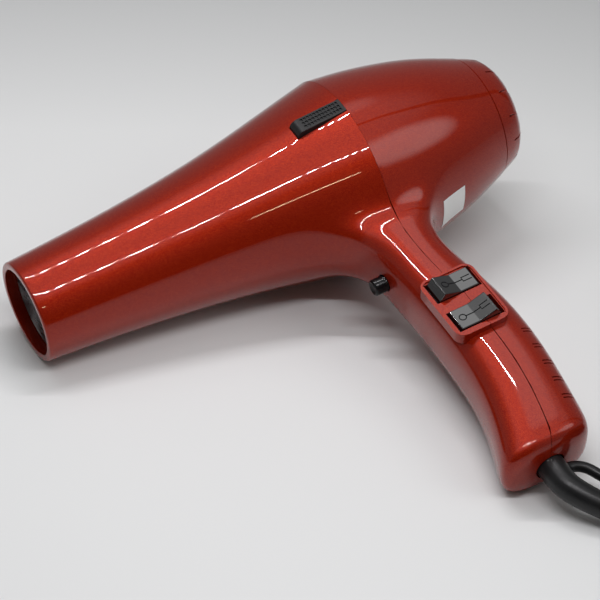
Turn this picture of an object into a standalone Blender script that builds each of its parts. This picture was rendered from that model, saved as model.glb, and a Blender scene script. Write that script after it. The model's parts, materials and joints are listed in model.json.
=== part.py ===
"""Professional hair dryer, lying on its side.

The pieces are modelled in the dryer's own frame, in metres: +X along the barrel
from the nozzle rim to the rear, -Z down the handle, -Y the side that carries the
rocker switches.  At the end everything is laid down on its right side, on the
nozzle rim, the widest circle of the body and the foot of the handle, and the
cord is laid on the surface beside it.
"""

import math

import bmesh
import bpy
import numpy as np
from mathutils import Matrix, Vector

# ---------------------------------------------------------------- housing sizes
NOZZLE_RADIUS = 0.0230
SEAM_X = 0.1575                 # the widest place, where the two housings meet
SEAM_RADIUS = 0.0449
MOUTH_X = 0.2264                # the rear end of the housing, where the cap sits
MOUTH_RADIUS = 0.0293
BODY_SWELL_FRONT = (            # distance from the rim, share of nozzle-to-seam growth
    (0.0000, 0.000), (0.0450, 0.137), (0.0940, 0.397), (0.1315, 0.753), (0.1445, 0.881))
BODY_SWELL_REAR = (             # distance from the rim, share of mouth-to-seam growth
    (0.1690, 0.936), (0.1800, 0.853), (0.2050, 0.545), (MOUTH_X, 0.000))
ROOT_FRONT_X = 0.1315           # the handle grows out of the body between these
ROOT_REAR_X = 0.1800
WALL = 0.0022
GAP = 0.0003                    # between pieces that touch
SEAM_GAP = 0.0003
SHELL_LEVELS = 1
RING_SIDES = 16
HANDLE_STATIONS = (             # height, front x, rear x, half thickness
    (-0.0540, 0.1403, 0.1708, 0.0166), (-0.0700, 0.1411, 0.1707, 0.0164),
    (-0.0900, 0.1420, 0.1752, 0.0169), (-0.1130, 0.1416, 0.1776, 0.0169),
    (-0.1350, 0.1400, 0.1766, 0.0164), (-0.1540, 0.1356, 0.1738, 0.0159),
    (-0.1690, 0.1298, 0.1716, 0.0153))
HANDLE_END_Z = -0.1818
END_ROUNDING = (                # above the end, how far in from the last section, half thickness
    (0.0053, -0.0006, 0.0151), (0.0023, 0.0020, 0.0128), (0.0006, 0.0070, 0.0090))
EXIT_X = 0.1476                 # the cord leaves the foot of the handle here
EXIT_HOLE_RADIUS = 0.0073
HANDLE_SEAM = (                 # height and x of the parting line down the handle
    (-0.0440, 0.1575), (-0.0560, 0.1557), (-0.0700, 0.1557), (-0.0820, 0.1565),
    (-0.1200, 0.1585), (-0.1290, 0.1584), (-0.1400, 0.1577), (-0.1540, 0.1557),
    (-0.1640, 0.1535), (-0.1750, 0.1508), (HANDLE_END_Z, EXIT_X))
HANDLE_FLAT = 0.985             # share of a section's half thickness that its flat reaches

# ---------------------------------------------------------------- switch pad
PAD_CENTRE_X = 0.1553
PAD_CENTRE_Z = -0.1033
PAD_WIDTH = 0.0258
PAD_LENGTH = 0.0340
PAD_TOP_Y = -0.0205
PAD_CORNER = 0.0045
PAD_LIP = 0.0011
PAD_LIP_DEPTH = 0.0004
ROCKER_X = 0.1556
ROCKER_HEIGHTS = (("heat", -0.0940), ("speed", -0.1116))
ROCKER_PIVOT_Y = -0.0153
ROCKER_WIDTH = 0.0108
ROCKER_VALLEY = 0.0056          # from the pivot to the bottom of the vee
ROCKER_CREST_X = 0.0092
ROCKER_BASE_X = 0.0104
ROCKER_SKIRT = 0.0024           # from the pivot to the underside of the cap
ROCKER_TILT = math.radians(10)
ROCKER_CLEARANCE = 0.0006
ROCKER_PIN_RADIUS = 0.0010
SWITCH_X = 0.1570
SWITCH_BODY = (0.0152, 0.0095, 0.0126)   # along x, y and z
SWITCH_TOP_Y = -0.0138
SWITCH_EAR = 0.0011             # thickness of each ear that carries the pivot pin
SWITCH_EAR_X = 0.0023

# ---------------------------------------------------------------- cool shot
COOL_Z = -0.0641
COOL_RADIUS = 0.0037
COOL_END_X = 0.1346
COOL_FLANGE_X = 0.1439
COOL_TRAVEL = 0.0025
COOL_CLEARANCE = 0.0004
COOL_PLUNGER = 0.0150           # from the button's face to the end of its plunger
MICRO_SWITCH = (0.0065, 0.0070, 0.0135)
MICRO_SWITCH_X = COOL_END_X + COOL_PLUNGER + COOL_TRAVEL + GAP

CLAMP_Z = -0.1590

# ---------------------------------------------------------------- grip pad
GRIP_START_X = 0.1329
GRIP_WIDTH = 0.0076
GRIP_TOP_DROP = 0.0019          # how much lower its top is at the front end
GRIP_POCKET_DEPTH = 0.0011

# ---------------------------------------------------------------- air path
GRILLE_X = 0.0165
GRILLE_DEPTH = 0.0026
HEATER_START_X = 0.0245
HEATER_END_X = 0.0985
HEATER_AIR = 0.0009             # between the mica sleeve's ends and the barrel
MICA_THICKNESS = 0.0009
COIL_TURNS = 5
COIL_POINTS = 8                 # in each turn
COIL_START = 0.0060             # from the sleeve's front end to the first turn
COIL_END = 0.0180               # from the last turn to the sleeve's rear end
COIL_WIRE_RADIUS = 0.0009
DUCT_START_X = 0.1480
RUBBER_RINGS = (("front", 0.1510, 0.1550), ("rear", 0.1860, 0.1900))
RUBBER_RING_DEPTH = 0.0031      # the least room for a ring between the duct and the housing
DUCT_WALL = 0.0014
MOTOR_RADIUS = 0.0235
YOKE_WALL = 0.0030
MOTOR_CUP_WALL = 0.0013
VANE_COUNT = 7
FAN_DEPTH = 0.0140
FAN_BLADES = 7
FAN_TIP_CLEARANCE = 0.0011
FAN_HUB_RADIUS = 0.0120
SHAFT_RADIUS = 0.0020

# ---------------------------------------------------------------- motor
CORE_START_X = 0.1485
CORE_LENGTH = 0.0190
POLE_RADIUS = 0.0120
ARMATURE_CLEARANCE = 0.0006
BRACKET_FRONT_X = 0.1240
BRACKET_STANDOFF = 0.0070       # from the core to the rear bracket, round the winding
BRACKET_REAR_X = CORE_START_X + CORE_LENGTH + BRACKET_STANDOFF
BRACKET_DEPTH = 0.0030
FAN_X = BRACKET_REAR_X + BRACKET_DEPTH + 0.0010
DUCT_END_X = FAN_X + FAN_DEPTH + 0.0025
COMMUTATOR_X = 0.1325
COMMUTATOR_LENGTH = 0.0080
COMMUTATOR_RADIUS = 0.0060
COMMUTATOR_BARS = 8

# ---------------------------------------------------------------- rear cap
CAP_X = MOUTH_X
CAP_RIM_X = 0.2358
CAP_RIM_RADIUS = 0.0252
CAP_END_X = 0.2395
CAP_SLOTS = 14
CAP_SLOT_WIDTH = 0.0022
CAP_SLOT_START_X = 0.2318
CAP_HUB_RADIUS = 0.0060
CAP_SKIRT_DEPTH = 0.0060

# ---------------------------------------------------------------- cord
CORD_RADIUS = 0.0035
RELIEF_START_RADIUS = 0.0062
RELIEF_END_RADIUS = 0.0045
RELIEF_COLLAR_RADIUS = 0.0084
RELIEF_ROUTE = (  # offset from the exit along the surface, share of the drop to it
    (0.0000, 0.0000, 0.00), (0.0002, -0.0104, 0.15), (0.0037, -0.0181, 0.32),
    (0.0091, -0.0252, 0.53), (0.0156, -0.0330, 0.76), (0.0221, -0.0415, 0.91),
    (0.0266, -0.0480, 1.00))
LOOP_RADIUS = 0.0023
LOOP_ROUTE = (  # the hanging loop beside the relief, offset from the exit, height above it
    (0.0024, -0.0045, -0.0006), (0.0081, -0.0036, -0.0008), (0.0134, -0.0065, -0.0014),
    (0.0172, -0.0129, -0.0026), (0.0222, -0.0188, -0.0040), (0.0272, -0.0246, -0.0058),
    (0.0305, -0.0311, -0.0076), (0.0300, -0.0376, -0.0090), (0.0255, -0.0406, -0.0098),
    (0.0205, -0.0396, -0.0100))
COIL_OFFSET = (0.0876, -0.0570)  # centre of the coiled cord from the exit
COIL_COLUMNS = 3
COIL_LAYERS = 4
COIL_PITCH = 0.0071
COIL_MEAN_RADIUS = 0.0385
TAIL_BEND = 0.0285
COIL_END_ANGLE = math.radians(150)
PLUG_LENGTH = 0.0440
PLUG_WIDTH = 0.0353
PLUG_THICKNESS = 0.0200
PLUG_PIN_LENGTH = 0.0190
PLUG_PIN_RADIUS = 0.0024
PLUG_PIN_SPACING = 0.0190


def clear_scene():
    for item in list(bpy.data.objects):
        bpy.data.objects.remove(item, do_unlink=True)


def make_collection(name):
    collection = bpy.data.collections.new(name)
    bpy.context.scene.collection.children.link(collection)
    return collection


clear_scene()
PARTS = make_collection("hair_dryer")
CUTTERS = make_collection("cutters")


# ================================================================ materials
def make_material(name, colour, roughness, metallic=0.0):
    material = bpy.data.materials.new(name)
    material.use_nodes = True
    shader = material.node_tree.nodes["Principled BSDF"]
    shader.inputs["Base Color"].default_value = (*colour, 1.0)
    shader.inputs["Roughness"].default_value = roughness
    shader.inputs["Metallic"].default_value = metallic
    return material


RED = make_material("red_gloss", (0.45, 0.030, 0.015), 0.2, 0.3)
BLACK = make_material("black_plastic", (0.015, 0.015, 0.017), 0.45)
RUBBER = make_material("black_rubber", (0.012, 0.012, 0.013), 0.6)
MICA = make_material("mica", (0.52, 0.45, 0.33), 0.55)
NICHROME = make_material("nichrome", (0.42, 0.40, 0.37), 0.4, 0.9)
STEEL = make_material("steel", (0.55, 0.55, 0.56), 0.3, 1.0)
COPPER = make_material("copper", (0.60, 0.26, 0.12), 0.35, 0.9)
BRASS = make_material("brass", (0.65, 0.48, 0.20), 0.3, 1.0)
CARBON = make_material("carbon", (0.03, 0.03, 0.03), 0.7)
WHITE = make_material("white_nylon", (0.72, 0.71, 0.67), 0.5)


# ================================================================ shapes
def add_object(name, data, material, collection=None):
    item = bpy.data.objects.new(name, data)
    if material is not None:
        item.data.materials.append(material)
    (collection or PARTS).objects.link(item)
    if collection is CUTTERS:
        item.hide_render = True
        item.display_type = "WIRE"
    return item


def mesh_from_bmesh(name, shape):
    mesh = bpy.data.meshes.new(name)
    shape.normal_update()
    shape.to_mesh(mesh)
    shape.free()
    return mesh


def mesh_from_faces(name, points, faces):
    mesh = bpy.data.meshes.new(name)
    mesh.from_pydata([tuple(point) for point in points], [], faces)
    mesh.validate()
    return mesh


def smooth(item, angle=40):
    item.data.shade_smooth()
    item.data.set_sharp_from_angle(angle=math.radians(angle))
    return item


def bevelled(item, width, segments=2, angle=40):
    bevel = item.modifiers.new("edge_round", "BEVEL")
    bevel.width = width
    bevel.segments = segments
    bevel.limit_method = "ANGLE"
    bevel.angle_limit = math.radians(angle)
    return item


def box(name, low, high, material, collection=None):
    low, high = Vector(low), Vector(high)
    shape = bmesh.new()
    bmesh.ops.create_cube(shape, size=1.0)
    bmesh.ops.scale(shape, vec=high - low, verts=shape.verts)
    item = add_object(name, mesh_from_bmesh(name, shape), material, collection)
    item.location = (low + high) / 2
    return item


def cylinder(name, start, end, radius, material, collection=None, sides=24):
    start, end = Vector(start), Vector(end)
    shape = bmesh.new()
    bmesh.ops.create_cone(shape, cap_ends=True, segments=sides, radius1=radius,
                          radius2=radius, depth=(end - start).length)
    item = add_object(name, mesh_from_bmesh(name, shape), material, collection)
    item.location = (start + end) / 2
    item.rotation_euler = (end - start).to_track_quat("Z", "Y").to_euler()
    return item


def turned(name, profile, material, collection=None, steps=40, closed=False):
    """Turn (distance along the barrel, radius) points about the barrel's axis.

    The points run from the rear to the front along the outside.
    """
    points = [(radius, 0.0, along) for along, radius in profile]
    edges = [(i, i + 1) for i in range(len(points) - 1)]
    if closed:
        edges.append((len(points) - 1, 0))
    mesh = bpy.data.meshes.new(name)
    mesh.from_pydata(points, edges, [])
    item = add_object(name, mesh, material, collection)
    screw = item.modifiers.new("turn", "SCREW")
    screw.steps = screw.render_steps = steps
    screw.use_merge_vertices = True
    screw.merge_threshold = 0.00001
    item.rotation_euler = (0.0, math.pi / 2, 0.0)
    return item


def ring(name, start, end, inner, outer, material, collection=None, steps=40):
    profile = ((end, inner), (end, outer), (start, outer), (start, inner))
    return turned(name, profile, material, collection, steps, closed=True)


def tube(name, points, radius, material, resolution=2, collection=None):
    curve = bpy.data.curves.new(name, "CURVE")
    curve.dimensions = "3D"
    spline = curve.splines.new("POLY")
    spline.points.add(len(points) - 1)
    for target, point in zip(spline.points, points):
        target.co = (*point, 1.0)
    curve.bevel_depth = radius
    curve.bevel_resolution = resolution
    curve.use_fill_caps = True
    return add_object(name, curve, material, collection)


def plate(name, outline, thickness, material, collection=None):
    """A flat outline in the local XY plane, of the given thickness."""
    curve = bpy.data.curves.new(name, "CURVE")
    curve.dimensions = "2D"
    spline = curve.splines.new("POLY")
    spline.points.add(len(outline) - 1)
    for target, (x, y) in zip(spline.points, outline):
        target.co = (x, y, 0.0, 1.0)
    spline.use_cyclic_u = True
    curve.fill_mode = "BOTH"
    curve.extrude = thickness / 2
    return add_object(name, curve, material, collection)


def evaluated_mesh(item):
    bpy.context.view_layer.update()
    graph = bpy.context.evaluated_depsgraph_get()
    return bpy.data.meshes.new_from_object(item.evaluated_get(graph))


def as_mesh(item, weld=0.00001):
    """Replace a curve, or an object with modifiers, by its own mesh."""
    mesh = evaluated_mesh(item)
    shape = bmesh.new()
    shape.from_mesh(mesh)
    bmesh.ops.remove_doubles(shape, verts=shape.verts, dist=weld)
    bmesh.ops.recalc_face_normals(shape, faces=shape.faces)
    shape.to_mesh(mesh)
    shape.free()
    collection = item.users_collection[0]
    material = item.data.materials[0] if item.data.materials else None
    name, matrix = item.name, item.matrix_world.copy()
    bpy.data.objects.remove(item, do_unlink=True)
    mesh.materials.clear()
    result = add_object(name, mesh, material, collection)
    result.matrix_world = matrix
    return result


def combine(item, other, operation):
    boolean = item.modifiers.new(operation.lower(), "BOOLEAN")
    boolean.operation = operation
    boolean.object = other
    boolean.solver = "EXACT"
    return item


def cut(item, *cutters):
    for cutter in cutters:
        combine(item, cutter, "DIFFERENCE")
    return item


def fuse(item, *others):
    for other in others:
        combine(item, other, "UNION")
    return item


def rounded_outline(width, length, corner, arc_points=4):
    points = []
    for sign_x, sign_y, start in ((1, 1, 0), (-1, 1, 90), (-1, -1, 180), (1, -1, 270)):
        for step in range(arc_points + 1):
            angle = math.radians(start + 90 * step / arc_points)
            points.append((sign_x * (width / 2 - corner) + corner * math.cos(angle),
                           sign_y * (length / 2 - corner) + corner * math.sin(angle)))
    return points


def interpolate(table, value):
    """Straight-line reading of (position, value) pairs in either order."""
    rows = sorted(table)
    return float(np.interp(value, [row[0] for row in rows], [row[1] for row in rows]))


def smooth_path(points, spacing):
    """Points at an even spacing along a smooth curve through the given points."""
    points = [Vector(point) for point in points]
    ends = [2 * points[0] - points[1], *points, 2 * points[-1] - points[-2]]
    fine = []
    for a, b, c, d in zip(ends, ends[1:], ends[2:], ends[3:]):
        for step in range(24):
            t = step / 24
            fine.append(0.5 * (2 * b + (c - a) * t + (2 * a - 5 * b + 4 * c - d) * t * t
                               + (3 * b - a - 3 * c + d) * t * t * t))
    fine.append(points[-1])
    lengths = [0.0]
    for first, second in zip(fine, fine[1:]):
        lengths.append(lengths[-1] + (second - first).length)
    count = max(2, round(lengths[-1] / spacing))
    marks = np.linspace(0.0, lengths[-1], count + 1)
    axes = [np.interp(marks, lengths, [point[axis] for point in fine]) for axis in range(3)]
    return [Vector(point) for point in zip(*axes)]


# ================================================================ housing
FRONT_PROFILE = (*((x, NOZZLE_RADIUS + (SEAM_RADIUS - NOZZLE_RADIUS) * share)
                   for x, share in BODY_SWELL_FRONT), (SEAM_X, SEAM_RADIUS))
REAR_PROFILE = ((SEAM_X, SEAM_RADIUS), *((x, MOUTH_RADIUS + (SEAM_RADIUS - MOUTH_RADIUS) * share)
                                         for x, share in BODY_SWELL_REAR))


def outer_radius(x):
    return interpolate(FRONT_PROFILE if x < SEAM_X else REAR_PROFILE, x)


def inner_radius(x):
    return outer_radius(x) - WALL


DUCT_RADIUS = min(inner_radius(end) for _, *ends in RUBBER_RINGS for end in ends) \
    - RUBBER_RING_DEPTH


def seam_x(z):
    return interpolate(HANDLE_SEAM, z) if z < HANDLE_SEAM[0][0] else SEAM_X


def body_ring(x, radius):
    """Control points of one circle; the smoothed surface lies inside them."""
    reach = radius * 6 / (4 + 2 * math.cos(2 * math.pi / RING_SIDES))
    turn = 2 * math.pi / RING_SIDES
    return [Vector((x, -reach * math.sin(i * turn), -reach * math.cos(i * turn)))
            for i in range(RING_SIDES)]


def handle_ring(z, front, rear, half, lift=0.0):
    """Twelve control points round the handle, from its front middle.

    Point 3 and point 9 lie on the parting line of the two halves.
    """
    middle = seam_x(z)
    shape = ((1.02, 0.0), (0.97, 0.74), (0.52, 1.06), (0.0, 1.04))
    points = [Vector((middle - (middle - front) * along, -half * side, z + lift * side))
              for along, side in shape]
    points += [Vector((middle + (rear - middle) * along, -half * side, z + lift * side))
               for along, side in reversed(shape[:3])]
    points += [Vector((point.x, -point.y, point.z)) for point in reversed(points[1:6])]
    return points


def housing_cage():
    """One coarse cage for the whole housing, open at the nozzle, rear and cord."""
    stations = [*FRONT_PROFILE, *REAR_PROFILE[1:]]
    points = []
    rings = []
    for x, radius in stations:
        rings.append(list(range(len(points), len(points) + RING_SIDES)))
        points += body_ring(x, radius)
    first = next(i for i, (x, _) in enumerate(stations) if x >= ROOT_FRONT_X)
    last = next(i for i, (x, _) in enumerate(stations) if x >= ROOT_REAR_X)
    faces = []
    for i, (near, far) in enumerate(zip(rings, rings[1:])):
        for j in range(RING_SIDES):
            k = (j + 1) % RING_SIDES
            if first <= i < last and j in (0, RING_SIDES - 1):
                continue
            faces.append((near[j], near[k], far[k], far[j]))
    side = list(range(first, last + 1))
    root = [rings[first][0], *[rings[i][1] for i in side], rings[last][0],
            *[rings[i][-1] for i in reversed(side)]]
    previous = root
    foot = HANDLE_STATIONS[-1]
    sections = [handle_ring(*station) for station in HANDLE_STATIONS]
    for rise, inset, half in END_ROUNDING:
        z = HANDLE_END_Z + rise
        shift = (foot[0] - z) * 0.28
        sections.append(handle_ring(z, foot[1] - shift + inset, foot[2] - shift - inset, half))
    hole = []
    for i in range(12):
        direction = sections[-1][i] - Vector((EXIT_X, 0.0, sections[-1][i].z))
        hole.append(Vector((EXIT_X, 0.0, HANDLE_END_Z))
                    + direction.normalized() * EXIT_HOLE_RADIUS * 1.06)
    hole[3].x = hole[9].x = EXIT_X
    sections.append(hole)
    for section in sections:
        current = list(range(len(points), len(points) + 12))
        points += section
        for i in range(12):
            k = (i + 1) % 12
            faces.append((previous[i], previous[k], current[k], current[i]))
        previous = current
    seam_ring = rings[len(FRONT_PROFILE) - 1]
    return points, faces, seam_ring


def housing_surface(levels):
    points, faces, seam_ring = housing_cage()
    mesh = mesh_from_faces("housing_surface", points, faces)
    shape = bmesh.new()
    shape.from_mesh(mesh)
    bmesh.ops.recalc_face_normals(shape, faces=shape.faces)
    creases = shape.edges.layers.float.new("crease_edge")
    shape.verts.ensure_lookup_table()
    for i in range(1, RING_SIDES - 1):
        edge = shape.edges.get((shape.verts[seam_ring[i]], shape.verts[seam_ring[i + 1]]))
        edge[creases] = 0.5 if i in (1, RING_SIDES - 2) else 1.0
    shape.to_mesh(mesh)
    shape.free()
    item = add_object("housing_surface", mesh, RED, CUTTERS)
    subdivision = item.modifiers.new("smooth_surface", "SUBSURF")
    subdivision.levels = subdivision.render_levels = levels
    return as_mesh(item)


def half_shell(name, surface, is_front):
    """The faces on one side of the parting line, thickened inwards."""
    shape = bmesh.new()
    shape.from_mesh(surface.data)
    other = [face for face in shape.faces
             if (face.calc_center_median().x < seam_x(face.calc_center_median().z)) != is_front]
    bmesh.ops.delete(shape, geom=other, context="FACES")
    item = add_object(name, mesh_from_bmesh(name, shape), RED)
    shell = item.modifiers.new("wall", "SOLIDIFY")
    shell.thickness = WALL
    shell.offset = -1.0
    item = as_mesh(item)
    for vertex in item.data.vertices:
        edge = seam_x(vertex.co.z)
        if is_front:
            vertex.co.x = min(vertex.co.x, edge - SEAM_GAP / 2)
            if vertex.co.x < WALL / 2:
                vertex.co.x = 0.0     # the nozzle's rim is a flat ring
        else:
            vertex.co.x = max(vertex.co.x, edge + SEAM_GAP / 2)
    return item


def pad_half(is_front):
    """One half of the raised pad round the rockers."""
    outline = rounded_outline(PAD_WIDTH, PAD_LENGTH, PAD_CORNER)
    edges = [seam_x(PAD_CENTRE_Z + y) - PAD_CENTRE_X for _, y in outline]
    inset = 0.7 * SEAM_GAP       # a little behind the housing's own edge
    if is_front:
        outline = [(min(x, edge - inset), y) for (x, y), edge in zip(outline, edges)]
    else:
        outline = [(max(x, edge + inset), y) for (x, y), edge in zip(outline, edges)]
    outline = [point for i, point in enumerate(outline) if point != outline[i - 1]]
    inner_y = -0.0150
    block = plate(f"pad_block_{int(is_front)}", outline, abs(PAD_TOP_Y - inner_y), None, CUTTERS)
    block.rotation_euler = (math.pi / 2, 0.0, 0.0)
    block.location = (PAD_CENTRE_X, (PAD_TOP_Y + inner_y) / 2, PAD_CENTRE_Z)
    return as_mesh(block)


def pad_recess():
    outline = rounded_outline(PAD_WIDTH - 2 * PAD_LIP, PAD_LENGTH - 2 * PAD_LIP,
                              PAD_CORNER - PAD_LIP)
    block = plate("pad_recess", outline, 2 * PAD_LIP_DEPTH, None, CUTTERS)
    block.rotation_euler = (math.pi / 2, 0.0, 0.0)
    block.location = (PAD_CENTRE_X, PAD_TOP_Y, PAD_CENTRE_Z)
    return as_mesh(block)


ROCKER_WINDOW_X = ROCKER_BASE_X + ROCKER_CLEARANCE
ROCKER_WINDOW_Z = ROCKER_WIDTH / 2 + ROCKER_CLEARANCE / 2


def rocker_window(kind, z):
    return box(f"{kind}_window", (ROCKER_X - ROCKER_WINDOW_X, PAD_TOP_Y - 0.010, z - ROCKER_WINDOW_Z),
               (ROCKER_X + ROCKER_WINDOW_X, ROCKER_PIVOT_Y + 0.0023, z + ROCKER_WINDOW_Z), None, CUTTERS)


SCREW_HEIGHTS = (-0.0790, -0.1285)
SCREW_RADIUS = 0.0015
SCREW_HEAD_RADIUS = 0.0029
SCREW_HEAD_DEPTH = 0.0020
SCREW_TIP_X = 0.1480
SCREW_SEAT_X = 0.1700
BOSS_RADIUS = 0.0036
BOSS_SPLIT_X = 0.1540


def handle_half(z):
    """How far the flat of the handle's side lies from its middle."""
    return handle_edge(z, 3) * HANDLE_FLAT


def handle_edge(z, column):
    return interpolate([(row[0], row[column]) for row in HANDLE_STATIONS], z)


def front_boss(z):
    start = handle_edge(z, 1) + WALL / 2
    return cylinder(f"front_boss_{z:.4f}", (start, 0, z), (BOSS_SPLIT_X, 0, z), BOSS_RADIUS,
                    None, CUTTERS, 12)


def rear_boss(z):
    end = handle_edge(z, 2) - WALL / 2
    return cylinder(f"rear_boss_{z:.4f}", (BOSS_SPLIT_X + GAP, 0, z), (end, 0, z), BOSS_RADIUS
                    + WALL / 2, None, CUTTERS, 12)


def micro_switch_ribs():
    """Two ribs in the front half that hold the micro-switch by its sides."""
    low, high = MICRO_SWITCH_X + 0.0008, seam_x(COOL_Z) - SEAM_GAP
    near = MICRO_SWITCH[1] / 2 + GAP
    far = handle_half(COOL_Z) - WALL / 2
    return [box(f"micro_switch_rib_{side}", (low, min(side * near, side * far), COOL_Z - 0.0010),
                (high, max(side * near, side * far), COOL_Z + 0.0010), None, CUTTERS)
            for side in (1, -1)]


def screw_bore(z):
    return cylinder(f"screw_bore_{z:.4f}", (SCREW_TIP_X - 0.001, 0, z), (0.19, 0, z),
                    SCREW_RADIUS + GAP, None, CUTTERS, 8)


def head_bore(z):
    return cylinder(f"head_bore_{z:.4f}", (SCREW_SEAT_X, 0, z), (0.19, 0, z),
                    SCREW_HEAD_RADIUS + GAP, None, CUTTERS, 12)


def grip_pocket():
    floor_front = outer_radius(GRIP_START_X) - GRIP_POCKET_DEPTH
    floor_rear = SEAM_RADIUS - GRIP_POCKET_DEPTH
    outline = [(GRIP_START_X, floor_front), (SEAM_X + 0.002, floor_rear + 0.0004),
               (SEAM_X + 0.002, SEAM_RADIUS + 0.010), (GRIP_START_X, SEAM_RADIUS + 0.010)]
    block = plate("grip_pocket", outline, GRIP_WIDTH + 2 * GAP, None, CUTTERS)
    block.rotation_euler = (math.pi, 0.0, 0.0)
    return as_mesh(block)


def grip_pad():
    floor = GRIP_POCKET_DEPTH - GAP
    start, end = GRIP_START_X + GAP, SEAM_X - SEAM_GAP
    top_rear = SEAM_RADIUS + 0.0001
    slope = (top_rear - (SEAM_RADIUS - GRIP_TOP_DROP)) / (end - start)
    nose = 0.0022
    outline = [(end, top_rear), (end, SEAM_RADIUS - floor),
               (start, outer_radius(start) - floor + GAP / 2)]
    outline += [(start + nose * (1 - math.cos(angle)),
                 (SEAM_RADIUS - GRIP_TOP_DROP) + slope * nose - nose * (1 - math.sin(angle)))
                for angle in np.radians((0, 30, 60, 90))]
    pad = plate("grip_pad", outline, GRIP_WIDTH, BLACK)
    pad.rotation_euler = (math.pi, 0.0, 0.0)
    pad = as_mesh(pad)
    return pad


def housing():
    surface = housing_surface(SHELL_LEVELS)
    front = half_shell("front_housing", surface, True)
    rear = half_shell("rear_housing", surface, False)
    bpy.data.objects.remove(surface, do_unlink=True)
    windows = [rocker_window(kind, z) for kind, z in ROCKER_HEIGHTS]
    recess = pad_recess()
    fuse(front, pad_half(True), *[front_boss(z) for z in SCREW_HEIGHTS], *micro_switch_ribs())
    fuse(rear, pad_half(False), *[rear_boss(z) for z in SCREW_HEIGHTS])
    bores = [screw_bore(z) for z in SCREW_HEIGHTS]
    cool_hole = cylinder("cool_hole", (COOL_END_X - 0.010, 0, COOL_Z),
                         (COOL_FLANGE_X + 0.002, 0, COOL_Z), COOL_RADIUS + COOL_CLEARANCE,
                         None, CUTTERS, 16)
    cut(front, recess, *windows, *bores, cool_hole, grip_pocket())
    cut(rear, recess, *windows, *bores, *[head_bore(z) for z in SCREW_HEIGHTS])
    for step in [*front.modifiers, *rear.modifiers]:
        step.use_self = True     # steady where two cuts nearly share an edge
    return front, rear


# ================================================================ switches
def rocker_cap(kind, z, tilt):
    """A vee-topped cap on a narrower core, whose pivot pin runs in the switch's ears."""
    crest_y = ROCKER_VALLEY + ROCKER_CREST_X * math.tan(ROCKER_TILT)
    half = [(0.0, ROCKER_VALLEY), (ROCKER_CREST_X, crest_y),
            (ROCKER_BASE_X, ROCKER_SKIRT + 0.0006), (ROCKER_BASE_X, ROCKER_SKIRT)]
    name = f"{kind}_rocker"
    cap = as_mesh(plate(name, half + [(-x, y) for x, y in reversed(half[1:])], ROCKER_WIDTH,
                        BLACK))
    bevelled(cap, 0.0004, 1, 25)
    cap = as_mesh(cap)
    ear_room = SWITCH_EAR + 2 * GAP
    core_half = [(0.0065, ROCKER_SKIRT + 0.0008), (0.0065, 0.0006), (0.0030, -0.0026)]
    core = as_mesh(plate(f"{name}_core", core_half + [(-x, y) for x, y in reversed(core_half)],
                         ROCKER_WIDTH - 2 * ear_room, None, CUTTERS))
    reach = ROCKER_WIDTH / 2 - GAP
    pin = cylinder(f"{name}_pin", (0, 0, -reach), (0, 0, reach), ROCKER_PIN_RADIUS, None,
                   CUTTERS, 12)
    fuse(cap, core, pin)
    cap = as_mesh(cap)
    for helper in (core, pin):
        bpy.data.objects.remove(helper, do_unlink=True)
    cap.rotation_euler = (math.pi, 0.0, tilt)
    cap.location = (ROCKER_X, ROCKER_PIVOT_Y, z)
    return cap


def switch_body(kind, z):
    """The switch under a rocker: a case whose two ears stand up in the window."""
    width, depth, length = SWITCH_BODY
    case = box(f"{kind}_switch", (SWITCH_X - width / 2, SWITCH_TOP_Y, z - length / 2),
               (SWITCH_X + width / 2, SWITCH_TOP_Y + depth, z + length / 2), BLACK)
    ear_outer = ROCKER_WIDTH / 2
    ear_inner = ear_outer - SWITCH_EAR
    cavity_x = width / 2 - 0.0010
    cavity = box(f"{kind}_cavity", (SWITCH_X - cavity_x, SWITCH_TOP_Y - 0.01, z - ear_inner),
                 (SWITCH_X + cavity_x, SWITCH_TOP_Y + 0.0038, z + ear_inner), None, CUTTERS)
    ears = []
    for sign in (1, -1):
        low, high = sorted((z + sign * ear_inner, z + sign * ear_outer))
        ears.append(box(f"{kind}_ear_{sign}", (ROCKER_X - SWITCH_EAR_X,
                                               ROCKER_PIVOT_Y - 0.0019, low),
                        (ROCKER_X + SWITCH_EAR_X, SWITCH_TOP_Y + 0.0020, high), None, CUTTERS))
    bore = cylinder(f"{kind}_bore", (ROCKER_X, ROCKER_PIVOT_Y, z - length),
                    (ROCKER_X, ROCKER_PIVOT_Y, z + length), ROCKER_PIN_RADIUS + GAP, None,
                    CUTTERS, 12)
    fuse(cut(case, cavity), *ears)
    return cut(case, bore)


def cool_shot():
    """The spring-loaded button; its origin is the middle of its outer face."""
    profile = ((COOL_PLUNGER, 0.0), (COOL_PLUNGER, 0.0013), (0.0092, 0.0013), (0.0092, 0.0050),
               (COOL_FLANGE_X - COOL_END_X, 0.0050), (COOL_FLANGE_X - COOL_END_X, COOL_RADIUS),
               (0.0006, COOL_RADIUS), (0.0, COOL_RADIUS - 0.0006), (0.0005, 0.0026),
               (0.0009, 0.0))
    button = turned("cool_shot_button", profile, BLACK, steps=12)
    button.location = (COOL_END_X, 0.0, COOL_Z)
    return button


def cool_spring():
    turns, radius, wire = 4, 0.0027, 0.00035
    start = COOL_END_X + 0.0092 + GAP
    length = MICRO_SWITCH_X - GAP - start - 2 * wire
    count = turns * 6
    points = [(wire + start + length * i / count,
               radius * math.cos(2 * math.pi * i / 6),
               COOL_Z + radius * math.sin(2 * math.pi * i / 6)) for i in range(count + 1)]
    return tube("cool_shot_spring", points, wire, STEEL, 0)


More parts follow.
